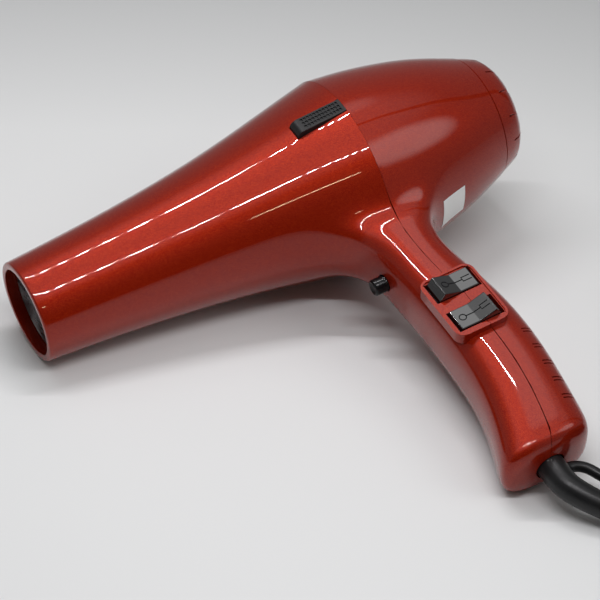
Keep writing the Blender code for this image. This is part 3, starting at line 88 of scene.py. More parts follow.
HANDLE_END_LEAN = 0.28          # how far its end moves forwards on the way down
BEHIND_HANDLE_X = 0.19
END_ROUNDING = (                # above the end, how far in from the last section, half thickness
    (0.0053, -0.0006, 0.0151), (0.0023, 0.0020, 0.0128), (0.0006, 0.0070, 0.0090))
EXIT_X = 0.1476                 # the cord leaves the foot of the handle here
EXIT_HOLE_RADIUS = 0.0067
CAGE_SWELL = 1.06               # how far the cage stands outside the smoothed hole
HANDLE_SEAM = (                 # height and x of the parting line down the handle
    (-0.0440, 0.1575), (-0.0560, 0.1557), (-0.0700, 0.1557), (-0.0820, 0.1565),
    (-0.1200, 0.1585), (-0.1290, 0.1584), (-0.1400, 0.1577), (-0.1540, 0.1557),
    (-0.1640, 0.1535), (-0.1750, 0.1508), (HANDLE_END_Z, EXIT_X))
HANDLE_FLAT = 0.985             # share of a section's half thickness that its flat reaches
GROOVE_PAIRS = 5                # short grooves across the rear corner of the handle
GROOVE_TOP_Z = -0.1268
GROOVE_PITCH = 0.0092
GROOVE_SPREAD = 0.00085         # of a pair, from its middle
GROOVE_SIZE = (0.0080, 0.0020, 0.0006)
PAD_CENTRE_X = 0.1553
PAD_CENTRE_Z = -0.1033
PAD_WIDTH = 0.0258
PAD_LENGTH = 0.0340
PAD_TOP_Y = -0.0205
PAD_CORNER = 0.0045
PAD_LIP = 0.0011
PAD_LIP_DEPTH = 0.0006
PAD_ROOT_Y = -0.0150            # inside the wall of the handle
PAD_ROUNDING = 0.00055
ROCKER_X = 0.1556
ROCKER_PIVOT_Y = -0.0153
ROCKER_WIDTH = 0.0108
ROCKER_VALLEY = 0.0056          # from the pivot to the bottom of the vee
ROCKER_CREST_X = 0.0086
ROCKER_BASE_X = 0.0104
ROCKER_SKIRT = 0.0024           # from the pivot to the underside of the cap
ROCKER_SKIRT_RISE = 0.0006
ROCKER_SKIRT_DROP = 0.0012
ROCKER_ROUNDING = 0.00045
ROCKER_TILT = math.radians(10)
ROCKERS = (("heat", -0.0940, ROCKER_TILT), ("speed", -0.1116, -ROCKER_TILT))
ROCKER_CLEARANCE = 0.0006
ROCKER_WINDOW_DEPTH = 0.0023    # beyond the pivot
MARK_RADIUS = 0.00024           # of the raised lines on a rocker
MARK_RING = (-0.0052, 0.0015)   # centre from the valley, radius
MARK_FORK = (0.0036, 0.0076, 0.0011)    # root and tips from the valley, half width
COOL_Z = -0.0641
COOL_RADIUS = 0.0037
COOL_END_X = 0.1346
COOL_FLANGE_X = 0.1439
COOL_FLANGE_RADIUS = 0.0050
COOL_FLANGE_DEPTH = 0.0008
COOL_CLEARANCE = 0.0004
COOL_HOLE_X = (0.125, 0.146)
GRIP_START_X = 0.1329
GRIP_WIDTH = 0.0076
GRIP_TOP_DROP = 0.0019          # how much lower its top is at the front end
GRIP_POCKET_DEPTH = 0.0011
GRIP_NOSE = 0.0030              # length of the rounding at its front end
GRIP_EDGE = 0.0003              # width of the rounding along its sides
GRIP_COLUMNS, GRIP_ROWS = 12, 3
GRIP_BAR = 0.26                 # share of a pit's pitch that stays standing
GRIP_PIT_DEPTH = 0.00055
GRIP_PIT_SLOPE = 0.00012
GRILLE_X = 0.0055               # the front of its rings
GRILLE_END_X = 0.0191
GRILLE_RADIUS = 0.0203
GRILLE_COLLAR_WALL = 0.0010
GRILLE_RINGS = 5
GRILLE_RING_FIRST = 0.0032      # from the collar's outside to that of the widest ring
GRILLE_RING_PITCH = 0.0029
GRILLE_RING_WALL = 0.0007
GRILLE_RING_DEPTH = 0.0040
GRILLE_BLADES = 3
CAP_X = MOUTH_X
CAP_RIM_X = 0.2358
CAP_RIM_RADIUS = 0.0252
CAP_END_X = 0.2395
CAP_WALL = 0.0018
CAP_SKIRT_DEPTH = 0.0060
CAP_SLOTS = 14
CAP_CUTS = (                    # slots and rim grooves: from and to which radius, front, width
    (0.0090, CAP_RIM_RADIUS - 0.0024, 0.2318, 0.0022),
    (CAP_RIM_RADIUS - 0.0014, CAP_RIM_RADIUS + 0.004, 0.2322, 0.0008))
BEHIND_CAP_X = 0.25
LABEL_X = (0.1842, 0.1978)
LABEL_ANGLES = (-14.0, 10.0)    # from the handle towards the rocker side, in degrees
LABEL_LIFT = 0.00012
CORD_RADIUS = 0.0035
RELIEF_START_RADIUS = 0.0062
RELIEF_END_RADIUS = 0.0045
RELIEF_ROUTE = (                # offset from the exit along the surface, share of the drop to it
    (0.0000, 0.0000, 0.00), (0.0002, -0.0104, 0.15), (0.0037, -0.0181, 0.32),
    (0.0091, -0.0252, 0.53), (0.0156, -0.0330, 0.76), (0.0221, -0.0415, 0.91),
    (0.0266, -0.0480, 1.00))
LOOP_RADIUS = 0.0023 * 1.04
LOOP_ROUTE = (                  # the hanging loop beside the relief, offset from the exit
    (0.0024, -0.0045, -0.0006), (0.0081, -0.0036, -0.0008), (0.0134, -0.0065, -0.0014),
    (0.0172, -0.0129, -0.0026), (0.0222, -0.0188, -0.0040), (0.0272, -0.0246, -0.0058),
    (0.0305, -0.0311, -0.0076), (0.0300, -0.0376, -0.0090), (0.0255, -0.0406, -0.0098),
    (0.0205, -0.0396, -0.0100))
COIL_OFFSET = (0.0876, -0.0570) # centre of the coiled cord from the exit
COIL_COLUMNS = 3
COIL_LAYERS = 4
COIL_PITCH = 0.0071
COIL_OUTER_RADIUS = 0.0385 + COIL_PITCH * (COIL_COLUMNS - 1) / 2
TAIL_BEND = 0.0285
COIL_END_ANGLE = math.radians(150)
PLUG_LENGTH = 0.0440
PLUG_WIDTH = 0.0353
PLUG_THICKNESS = 0.0200
PLUG_GROOVES = (                # start and end along its grip
    (0.0265, 0.0279), (0.0301, 0.0315), (0.0337, 0.0351), (0.0373, 0.0387))
SCREW_HEIGHTS = (-0.0790, -0.1285)
SCREW_RADIUS = 0.0015
SCREW_HEAD_RADIUS = 0.0029
SCREW_SEAT_X = 0.1700
SCREW_TIP_X = 0.1480

CUTTERS = bpy.data.collections.new("cutters")
SCENE.collection.children.link(CUTTERS)


def add_object(name, data, material, collection=None):
    item = bpy.data.objects.new(name, data)
    if material is not None:
        item.data.materials.append(material)
    (collection or SCENE.collection).objects.link(item)
    return item


def add_shape(name, shape, material, collection=None):
    """Make an object of a bmesh, which is used up."""
    mesh = bpy.data.meshes.new(name)
    shape.normal_update()
    shape.to_mesh(mesh)
    shape.free()
    return add_object(name, mesh, material, collection)


def box(name, low, high):
    """A block to cut or to join with."""
    low, high = Vector(low), Vector(high)
    shape = bmesh.new()
    bmesh.ops.create_cube(shape, size=1.0)
    bmesh.ops.scale(shape, vec=high - low, verts=shape.verts)
    item = add_shape(name, shape, None, CUTTERS)
    item.location = (low + high) / 2
    return item


def cylinder(name, start, end, radius, sides):
    """A rod to cut with."""
    start, end = Vector(start), Vector(end)
    shape = bmesh.new()
    bmesh.ops.create_cone(shape, cap_ends=True, segments=sides, radius1=radius,
                          radius2=radius, depth=(end - start).length)
    item = add_shape(name, shape, None, CUTTERS)
    item.location = (start + end) / 2
    item.rotation_euler = (end - start).to_track_quat("Z", "Y").to_euler()
    return item


def turned(name, profile, material, steps, collection=None, closed=False):
    """Turn (distance along the barrel, radius) points, rear to front, about its axis."""
    points = [(radius, 0.0, along) for along, radius in profile]
    edges = [(i, i + 1) for i in range(len(points) - 1)]
    if closed:
        edges.append((len(points) - 1, 0))
    mesh = bpy.data.meshes.new(name)
    mesh.from_pydata(points, edges, [])
    item = add_object(name, mesh, material, collection)
    screw = item.modifiers.new("turn", "SCREW")
    screw.steps = screw.render_steps = steps
    screw.use_merge_vertices = True
    screw.merge_threshold = 0.00001
    item.rotation_euler = (0.0, math.pi / 2, 0.0)
    return item


def poly_curve(name, dimensions, points):
    curve = bpy.data.curves.new(name, "CURVE")
    curve.dimensions = dimensions
    spline = curve.splines.new("POLY")
    spline.points.add(len(points) - 1)
    for target, point in zip(spline.points, points):
        target.co = (*point, 1.0)
    return curve


def tube(name, points, radius, material, resolution, collection=None):
    curve = poly_curve(name, "3D", points)
    curve.bevel_depth = radius
    curve.bevel_resolution = resolution
    curve.use_fill_caps = True
    return add_object(name, curve, material, collection)


def plate(name, outline, thickness, material, collection=None):
    """A flat outline in the local XY plane, of the given thickness."""
    curve = poly_curve(name, "2D", [(x, y, 0.0) for x, y in outline])
    curve.splines[0].use_cyclic_u = True
    curve.fill_mode = "BOTH"
    curve.extrude = thickness / 2
    return add_object(name, curve, material, collection)


def as_mesh(item, weld=WELD):
    """Replace a curve, or an object with modifiers, by its own mesh."""
    bpy.context.view_layer.update()
    graph = bpy.context.evaluated_depsgraph_get()
    mesh = bpy.data.meshes.new_from_object(item.evaluated_get(graph))
    shape = bmesh.new()
    shape.from_mesh(mesh)
    bmesh.ops.remove_doubles(shape, verts=shape.verts, dist=weld)
    bmesh.ops.recalc_face_normals(shape, faces=shape.faces)
    shape.to_mesh(mesh)
    shape.free()
    collection = item.users_collection[0]
    material = item.data.materials[0] if item.data.materials else None
    name, matrix = item.name, item.matrix_world.copy()
    bpy.data.objects.remove(item, do_unlink=True)
    mesh.materials.clear()
    result = add_object(name, mesh, material, collection)
    result.matrix_world = matrix
    return result


def cut(item, *others, operation="DIFFERENCE", solver="EXACT"):
    for other in others:
        boolean = item.modifiers.new("boolean", "BOOLEAN")
        boolean.operation = operation
        boolean.object = other
        boolean.solver = solver
    return item


def fuse(item, *others):
    return cut(item, *others, operation="UNION")


def rounded_outline(width, length, corner):
    points = []
    for sign_x, sign_y, start in ((1, 1, 0), (-1, 1, 90), (-1, -1, 180), (1, -1, 270)):
        for step in range(9):
            angle = math.radians(start + 90 * step / 8)
            points.append((sign_x * (width / 2 - corner) + corner * math.cos(angle),
                           sign_y * (length / 2 - corner) + corner * math.sin(angle)))
    return points


def interpolate(table, value):
    """Straight-line reading of (position, value) pairs in either order."""
    rows = sorted(table)
    return float(np.interp(value, [row[0] for row in rows], [row[1] for row in rows]))


def smooth_path(points, spacing):
    """Points at an even spacing along a smooth curve through the given points."""
    points = [Vector(point) for point in points]
    ends = [2 * points[0] - points[1], *points, 2 * points[-1] - points[-2]]
    fine = []
    for a, b, c, d in zip(ends, ends[1:], ends[2:], ends[3:]):
        for step in range(24):
            t = step / 24
            fine.append(0.5 * (2 * b + (c - a) * t + (2 * a - 5 * b + 4 * c - d) * t * t
                               + (3 * b - a - 3 * c + d) * t * t * t))
    fine.append(points[-1])
    lengths = [0.0]
    for first, second in zip(fine, fine[1:]):
        lengths.append(lengths[-1] + (second - first).length)
    count = max(2, round(lengths[-1] / spacing))
    marks = np.linspace(0.0, lengths[-1], count + 1)
    axes = [np.interp(marks, lengths, [point[axis] for point in fine]) for axis in range(3)]
    return [Vector(point) for point in zip(*axes)]


FRONT_PROFILE = (*((x, NOZZLE_RADIUS + (SEAM_RADIUS - NOZZLE_RADIUS) * share)
                   for x, share in BODY_SWELL_FRONT), (SEAM_X, SEAM_RADIUS))
REAR_PROFILE = ((SEAM_X, SEAM_RADIUS), *((x, MOUTH_RADIUS + (SEAM_RADIUS - MOUTH_RADIUS) * share)
                                         for x, share in BODY_SWELL_REAR))


def outer_radius(x):
    return interpolate(FRONT_PROFILE if x < SEAM_X else REAR_PROFILE, x)


def seam_x(z):
    return interpolate(HANDLE_SEAM, z) if z < HANDLE_SEAM[0][0] else SEAM_X


def body_ring(x, radius):
    """Control points of one circle; the smoothed surface lies inside them."""
    turn = 2 * math.pi / RING_SIDES
    reach = radius * 6 / (4 + 2 * math.cos(turn))
    return [Vector((x, -reach * math.sin(i * turn), -reach * math.cos(i * turn)))
            for i in range(RING_SIDES)]


def handle_ring(z, front, rear, half):
    """Twelve control points round the handle, from its front middle.

    Point 3 and point 9 lie on the parting line of the two halves.
    """
    middle = seam_x(z)
    shape = ((1.02, 0.0), (0.97, 0.74), (0.52, 1.06), (0.0, 1.04))
    points = [Vector((middle - (middle - front) * along, -half * side, z))
              for along, side in shape]
    points += [Vector((middle + (rear - middle) * along, -half * side, z))
               for along, side in reversed(shape[:3])]
    points += [Vector((point.x, -point.y, point.z)) for point in reversed(points[1:6])]
    return points


def housing_cage():
    """One coarse cage for the whole housing, open at the nozzle, rear and cord."""
    stations = [*FRONT_PROFILE, *REAR_PROFILE[1:]]
    points = []
    rings = []
    for x, radius in stations:
        rings.append(list(range(len(points), len(points) + RING_SIDES)))
        points += body_ring(x, radius)
    first = next(i for i, (x, _) in enumerate(stations) if x >= ROOT_FRONT_X)
    last = next(i for i, (x, _) in enumerate(stations) if x >= ROOT_REAR_X)
    faces = []
    for i, (near, far) in enumerate(zip(rings, rings[1:])):
        for j in range(RING_SIDES):
            k = (j + 1) % RING_SIDES
            if first <= i < last and j in (0, RING_SIDES - 1):
                continue
            faces.append((near[j], near[k], far[k], far[j]))
    side = list(range(first, last + 1))
    root = [rings[first][0], *[rings[i][1] for i in side], rings[last][0],
            *[rings[i][-1] for i in reversed(side)]]
    previous = root
    foot = HANDLE_STATIONS[-1]
    sections = [handle_ring(*station) for station in HANDLE_STATIONS]
    for rise, inset, half in END_ROUNDING:
        z = HANDLE_END_Z + rise
        shift = (foot[0] - z) * HANDLE_END_LEAN
        sections.append(handle_ring(z, foot[1] - shift + inset, foot[2] - shift - inset, half))
    hole = []
    for point in sections[-1]:
        direction = (point - Vector((EXIT_X, 0.0, point.z))).normalized()
        hole.append(Vector((EXIT_X, 0.0, HANDLE_END_Z))
                    + direction * EXIT_HOLE_RADIUS * CAGE_SWELL)
    hole[3].x = hole[9].x = EXIT_X
    sections.append(hole)
    for section in sections:
        current = list(range(len(points), len(points) + 12))
        points += section
        for i in range(12):
            k = (i + 1) % 12
            faces.append((previous[i], previous[k], current[k], current[i]))
        previous = current
    seam_ring = rings[len(FRONT_PROFILE) - 1]
    return points, faces, seam_ring


def housing_surface(levels):
    """The smoothed cage, creased round the widest circle except at the handle."""
    points, faces, seam_ring = housing_cage()
    mesh = bpy.data.meshes.new("housing_surface")
    mesh.from_pydata([tuple(point) for point in points], [], faces)
    mesh.validate()
    shape = bmesh.new()
    shape.from_mesh(mesh)
    bmesh.ops.recalc_face_normals(shape, faces=shape.faces)
    creases = shape.edges.layers.float.new("crease_edge")
    shape.verts.ensure_lookup_table()
    for i in range(1, RING_SIDES - 1):
        ends = shape.verts[seam_ring[i]], shape.verts[seam_ring[i + 1]]
        shape.edges.get(ends)[creases] = 0.5 if i in (1, RING_SIDES - 2) else 1.0
    shape.to_mesh(mesh)
    shape.free()
    item = add_object("housing_surface", mesh, RED, CUTTERS)
    subdivision = item.modifiers.new("smooth_surface", "SUBSURF")
    subdivision.levels = subdivision.render_levels = levels
    return as_mesh(item)


def half_shell(name, surface, is_front):
    """The faces on one side of the parting line, thickened inwards."""
    shape = bmesh.new()
    shape.from_mesh(surface.data)
    other = [face for face in shape.faces
             if (face.calc_center_median().x < seam_x(face.calc_center_median().z)) != is_front]
    bmesh.ops.delete(shape, geom=other, context="FACES")
    item = add_shape(name, shape, RED)
    shell = item.modifiers.new("wall", "SOLIDIFY")
    shell.thickness = WALL
    shell.offset = -1.0
    item = as_mesh(item)
    for vertex in item.data.vertices:
        edge = seam_x(vertex.co.z)
        if is_front:
            vertex.co.x = min(vertex.co.x, edge - SEAM_GAP / 2)
            if vertex.co.x < WALL / 2:
                vertex.co.x = 0.0     # the nozzle's rim is a flat ring
                radius = math.hypot(vertex.co.y, vertex.co.z)
                if radius < NOZZLE_RADIUS - WALL / 2:
                    vertex.co.yz *= RIM_INNER_RADIUS / radius
        else:
            vertex.co.x = max(vertex.co.x, edge + SEAM_GAP / 2)
    return item


def rocker_windows():
    """Cutters for the openings in which the rockers turn."""
    reach_x = ROCKER_BASE_X + ROCKER_CLEARANCE
    reach_z = ROCKER_WIDTH / 2 + ROCKER_CLEARANCE / 2
    return [box(f"{kind}_window",
                (ROCKER_X - reach_x, PAD_TOP_Y - 0.010, z - reach_z),
                (ROCKER_X + reach_x, ROCKER_PIVOT_Y + ROCKER_WINDOW_DEPTH, z + reach_z))
            for kind, z, _ in ROCKERS]


def handle_edge(z, column):
    return interpolate([(row[0], row[column]) for row in HANDLE_STATIONS], z)


def screw_cutters(kind, start_x, radius, sides):
    return [cylinder(f"{kind}_{z:.4f}", (start_x, 0, z), (BEHIND_HANDLE_X, 0, z), radius + GAP,
                     sides) for z in SCREW_HEIGHTS]


def grip_pocket():
    floor_front = outer_radius(GRIP_START_X) - GRIP_POCKET_DEPTH
    floor_rear = SEAM_RADIUS - GRIP_POCKET_DEPTH
    outline = [(GRIP_START_X, floor_front), (SEAM_X + 0.002, floor_rear + 0.0004),
               (SEAM_X + 0.002, SEAM_RADIUS + 0.010), (GRIP_START_X, SEAM_RADIUS + 0.010)]
    block = plate("grip_pocket", outline, GRIP_WIDTH + 2 * GAP, None, CUTTERS)
    block.rotation_euler = (math.pi, 0.0, 0.0)
    return as_mesh(block)


# ======== placing
def joint(name):
    return next(item for item in frame["joints"] if item["name"] == name)


def dryer_matrix():
    """From the dryer's own frame to the frame it lies in, read from its joints."""
    along = Vector(joint("cap_twist")["axis"]).normalized()
    up = Vector(joint("heat_selector")["axis"]).normalized()
    across = up.cross(along)
    matrix = Matrix((along, across, up)).transposed().to_4x4()
    matrix.translation = Vector(joint("cap_twist")["pos_m"]) - along * CAP_X
    return matrix


DRYER = dryer_matrix()
EXIT_POINT = DRYER @ Vector((EXIT_X, 0.0, HANDLE_END_Z))
COIL_CENTRE = Vector((EXIT_POINT.x + COIL_OFFSET[0], EXIT_POINT.y + COIL_OFFSET[1], 0.0))


def tail_frame():
    """Where the cord's end lies on top of the coil: point, heading and side."""
    out = Vector((math.cos(COIL_END_ANGLE), math.sin(COIL_END_ANGLE), 0.0))
    side = Vector((-out.y, out.x, 0.0))
    height = COIL_PITCH * COIL_LAYERS + 2 * GAP + CORD_RADIUS
    turn_centre = COIL_CENTRE + out * (COIL_OUTER_RADIUS - TAIL_BEND) + Vector((0, 0, height))
    return turn_centre, out, side


def make_camera():
    """The camera that took the photograph, as solved in the dryer's own frame."""
    data = bpy.data.cameras.new("camera")
    data.sensor_width = 36.0
    data.lens = 150.0
    data.clip_end = 50.0
    camera = bpy.data.objects.new("camera", data)
    SCENE.collection.objects.link(camera)
    right = Vector((0.86461, 0.01050, -0.50234))
    down = Vector((-0.38965, 0.64521, -0.65717))
    forward = Vector((0.31722, 0.76393, 0.56195))
    place = Matrix((right, -down, -forward)).transposed().to_4x4()
    place.translation = Vector((-0.2357, -0.8193, -0.6564))
    camera.matrix_world = DRYER @ place
    SCENE.camera = camera


make_camera()


# ======== materials
GRAIN_DEPTH = 0.00004


def new_material(name, colour, roughness, metallic, coat, coat_roughness, specular):
    material = bpy.data.materials.new(name)
    material.use_nodes = True
    shader = material.node_tree.nodes["Principled BSDF"]
    for socket, value in (("Base Color", (*colour, 1.0)), ("Roughness", roughness),
                          ("Metallic", metallic), ("Coat Weight", coat),
                          ("Coat Roughness", coat_roughness), ("Specular IOR Level", specular)):
        shader.inputs[socket].default_value = value
    return material, material.node_tree, shader


def add_node(tree, kind, inputs):
    """Add a node whose inputs, by name or number, take values or other nodes' outputs."""
    node = tree.nodes.new(f"ShaderNode{kind}")
    for key, value in inputs.items():
        if isinstance(value, bpy.types.NodeSocket):
            tree.links.new(value, node.inputs[key])
        else:
            node.inputs[key].default_value = value
    return node


def position(tree):
    return tree.nodes.new("ShaderNodeTexCoord").outputs["Object"]


def noise(tree, scale, detail):
    return add_node(tree, "TexNoise", {"Scale": scale, "Detail": detail,
                                       "Vector": position(tree)}).outputs["Fac"]


def dot(tree, value, vector):
    node = add_node(tree, "VectorMath", {0: value, 1: vector})
    node.operation = "DOT_PRODUCT"
    return node.outputs["Value"]


def spread(tree, value, low, high, from_low=0.3, from_high=0.7, interpolation="LINEAR"):
    node = add_node(tree, "MapRange", {"Value": value, "From Min": from_low, "To Min": low,
                                       "From Max": from_high, "To Max": high})
    node.interpolation_type = interpolation
    return node.outputs["Result"]


def blend_colours(tree, value, low, high):
    node = tree.nodes.new("ShaderNodeMix")
    node.data_type = "RGBA"
    node.inputs["A"].default_value = (*low, 1.0)
    node.inputs["B"].default_value = (*high, 1.0)
    tree.links.new(value, node.inputs["Factor"])
    return node.outputs["Result"]


def bump(tree, shader, value, strength, distance, socket="Normal"):
    node = add_node(tree, "Bump", {"Strength": strength, "Distance": distance, "Height": value})
    tree.links.new(node.outputs["Normal"], shader.inputs[socket])


def surface(name, colour, roughness, metallic=0.0, grain=900.0, strength=0.3, shift=0.15,
            coat=0.0, specular=0.5):
    """A moulded or drawn surface: uneven colour and gloss, and a fine grain."""
    material, tree, shader = new_material(name, colour, roughness, metallic, coat, 0.03,
                                          specular)
    patches = spread(tree, noise(tree, 60.0, 4.0), 0.0, 1.0)
    darker = [value * (1 - shift) for value in colour]
    lighter = [min(1.0, value * (1 + shift)) for value in colour]
    tree.links.new(blend_colours(tree, patches, darker, lighter), shader.inputs["Base Color"])
    tree.links.new(spread(tree, noise(tree, 220.0, 3.0), roughness * 0.85,
                          min(1.0, roughness * 1.15)), shader.inputs["Roughness"])
    bump(tree, shader, noise(tree, grain, 2.0), strength, GRAIN_DEPTH)
    return material


def red_paint():
    """Metal-flake red under a clear coat."""
    material, tree, shader = new_material("red_shell", (0.29, 0.013, 0.003), 0.47, 0.48, 1.0,
                                          0.02, 0.02)
    shader.inputs["Coat IOR"].default_value = 1.40
    flakes = add_node(tree, "TexVoronoi", {"Scale": 7500.0, "Vector": position(tree)})
    grey = add_node(tree, "SeparateColor", {"Color": flakes.outputs["Color"]})
    flake = spread(tree, grey.outputs["Red"], 0.0, 1.0, 0.55, 0.85)
    mix = blend_colours(tree, flake, (0.222, 0.0065, 0.0012), (0.375, 0.0300, 0.0050))
    tree.links.new(mix, shader.inputs["Base Color"])
    tree.links.new(spread(tree, flake, 0.42, 0.70, 0.0, 1.0), shader.inputs["Metallic"])
    bump(tree, shader, grey.outputs["Green"], 0.12, GRAIN_DEPTH)
    bump(tree, shader, noise(tree, 110.0, 2.0), 0.04, 0.00010, "Coat Normal")
    return material


RED = red_paint()
ROCKER_BLACK = surface("rocker_moulding", (0.006, 0.006, 0.0065), 0.08, grain=1400.0,
                       strength=0.10, coat=0.8, specular=1.0)
BUTTON_BLACK = surface("button_moulding", (0.004, 0.004, 0.0045), 0.24, grain=1400.0,
                       specular=0.25)
GRILLE_BLACK = surface("grille_coating", (0.24, 0.24, 0.245), 0.30, 0.9)
SATIN_BLACK = surface("black_satin", (0.008, 0.008, 0.0085), 0.45, grain=1100.0, specular=0.35)
RUBBER = surface("black_rubber", (0.006, 0.006, 0.0065), 0.36, grain=700.0, strength=0.35,
                 specular=0.35)
CORD = surface("cord_jacket", (0.008, 0.008, 0.0085), 0.42, grain=500.0, specular=0.35)
MICA = surface("mica", (0.50, 0.43, 0.31), 0.45, grain=300.0, shift=0.25)
NICHROME = surface("resistance_wire", (0.40, 0.37, 0.33), 0.40, 0.9)
STEEL = surface("steel", (0.55, 0.55, 0.56), 0.30, 1.0)
DARK_STEEL = surface("dark_steel", (0.060, 0.060, 0.062), 0.45, 0.8)
COPPER = surface("enamelled_copper", (0.55, 0.20, 0.08), 0.30, 0.9)
BRASS = surface("brass", (0.62, 0.46, 0.18), 0.28, 1.0)
CARBON = surface("carbon", (0.03, 0.03, 0.03), 0.75)
NYLON = surface("pale_nylon", (0.70, 0.69, 0.65), 0.5)
AMBER = surface("capacitor_case", (0.52, 0.33, 0.06), 0.35)
MARK = surface("relief_mark", (0.004, 0.004, 0.005), 0.60, specular=0.2)
LABEL = surface("bare_label", (0.86, 0.88, 0.87), 0.38, shift=0.04)

LOOKS = (
    (SATIN_BLACK, "fan heat_switch speed_switch cool_shot_switch front_bracket rear_bracket"),
    (RUBBER, "rubber_ring_front rubber_ring_rear"),
    (MICA, "mica_sleeve mica_boards"),
    (NICHROME, "heating_coil"),
    (STEEL, "motor_shaft stator_core armature_core shaft_bearing_front shaft_bearing_rear"),
    (STEEL, "cool_shot_spring handle_screw_upper handle_screw_lower thermostat thermal_fuse"),
    (DARK_STEEL, "filter_mesh"),
    (COPPER, "armature_winding_front armature_winding_rear commutator"),
    (COPPER, "field_coil_lower field_coil_upper"),
    (BRASS, "brush_holder_lower brush_holder_upper plug_pin_left plug_pin_right"),
    (CARBON, "carbon_brush_lower carbon_brush_upper"),
    (AMBER, "suppressor_capacitor"),
    (NYLON, "motor_carrier cord_clamp"),
)
for look, nodes in LOOKS:
    for node in nodes.split():
        data = frame["nodes"][node].data
        data.materials.clear()
        data.materials.append(look)


# ======== pieces
def in_place(item, body, slot, *nodes, matrix=DRYER, angle=35):
    """Put a finished piece into the lying frame and let it stand for its solids."""
    item.data.transform(matrix @ item.matrix_world)
    item.matrix_world = Matrix.Identity(4)
    item.data.shade_smooth()
    item.data.set_sharp_from_angle(angle=math.radians(angle))
    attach(item, body)
    if nodes:
        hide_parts(*nodes)
    return item


def drop_cutters():
    for item in list(CUTTERS.objects):
        bpy.data.objects.remove(item, do_unlink=True)


def solid(item):
    item = as_mesh(item, FINE_WELD)
    drop_cutters()
    return item


def round_rim(item):
    """Round the nozzle's flat rim on its outside and inside."""
    for low, high, width, segments in RIM_ROUNDING:
        shape = bmesh.new()
        shape.from_mesh(item.data)
        edges = [edge for edge in shape.edges
                 if all(abs(vertex.co.x) < WELD
                        and low < math.hypot(vertex.co.y, vertex.co.z) < high
                        for vertex in edge.verts)]
        bmesh.ops.bevel(shape, geom=edges, offset=width, segments=segments, profile=0.5,
                        affect="EDGES")
        shape.to_mesh(item.data)
        shape.free()


def rounded(item, width, segments, angle=30):
    modifier = item.modifiers.new("edge_round", "BEVEL")
    modifier.width = width
    modifier.segments = segments
    modifier.limit_method = "ANGLE"
    modifier.angle_limit = math.radians(angle)
    return item


# -------- housings
SHELL_LEVELS = 3


def grip_grooves():
    """Pairs of short grooves across the rear corner of the handle."""
    shape = bmesh.new()
    turn = Matrix.Rotation(math.radians(30), 4, "Z") @ Matrix.Diagonal((*GROOVE_SIZE, 1))
    for i in range(GROOVE_PAIRS):
        for offset in (-GROOVE_SPREAD, GROOVE_SPREAD):
            z = GROOVE_TOP_Z - GROOVE_PITCH * i + offset
            side = handle_edge(z, 3) * HANDLE_FLAT
            middle = Vector((handle_edge(z, 2) - 0.0042, -side + 0.0018, z))
            bmesh.ops.create_cube(shape, size=1.0, matrix=Matrix.Translation(middle) @ turn)
    return add_shape("grip_grooves", shape, None, CUTTERS)


def housings():
    shell = housing_surface(SHELL_LEVELS)
    front = half_shell("front_shell", shell, True)
    rear = half_shell("rear_shell", shell, False)
    bpy.data.objects.remove(shell, do_unlink=True)
    round_rim(front)
    windows = rocker_windows()
    cool_hole = cylinder("cool_hole", *[(x, 0, COOL_Z) for x in COOL_HOLE_X],
                         COOL_RADIUS + COOL_CLEARANCE, 48)
    cut(front, *windows, cool_hole, grip_pocket(), solver="MANIFOLD")
    cut(rear, *windows, *screw_cutters("screw_bore", SCREW_TIP_X - 0.001, SCREW_RADIUS, 8),
        *screw_cutters("head_bore", SCREW_SEAT_X, SCREW_HEAD_RADIUS, 12), grip_grooves(),
        solver="MANIFOLD")
    front, rear = as_mesh(front, FINE_WELD), as_mesh(rear, FINE_WELD)
    drop_cutters()
    in_place(front, "dryer", "red_shell", "front_housing")
    return in_place(rear, "dryer", "red_shell", "rear_housing")


def pad_plate(name, inset, y, thickness, material, collection=None):
    """The pad's outline, inset all round, as a plate that faces the rocker side."""
    outline = rounded_outline(PAD_WIDTH - 2 * inset, PAD_LENGTH - 2 * inset, PAD_CORNER - inset)
    block = plate(name, outline, thickness, material, collection)
    block.rotation_euler = (math.pi / 2, 0.0, 0.0)
    block.location = (PAD_CENTRE_X, y, PAD_CENTRE_Z)
    return as_mesh(block)


def switch_pad():
    """The raised pad with its thin lip, parted along the same line as the shells."""
    edge = seam_x(PAD_CENTRE_Z)
    for name, low, high in (("switch_pad_front", edge - SEAM_GAP, 0.2),
                            ("switch_pad_rear", 0.1, edge + SEAM_GAP)):
        block = pad_plate("pad", 0.0, (PAD_TOP_Y + PAD_ROOT_Y) / 2, PAD_ROOT_Y - PAD_TOP_Y, RED)
        cut(block, pad_plate("recess", PAD_LIP, PAD_TOP_Y, 2 * PAD_LIP_DEPTH, None, CUTTERS),
            *rocker_windows(), box("parting", (low, -0.03, -0.13), (high, -0.01, -0.08)))
        block = solid(rounded(solid(block), PAD_ROUNDING, 4, 40))
        block.name = name
        in_place(block, "dryer", "red_shell")


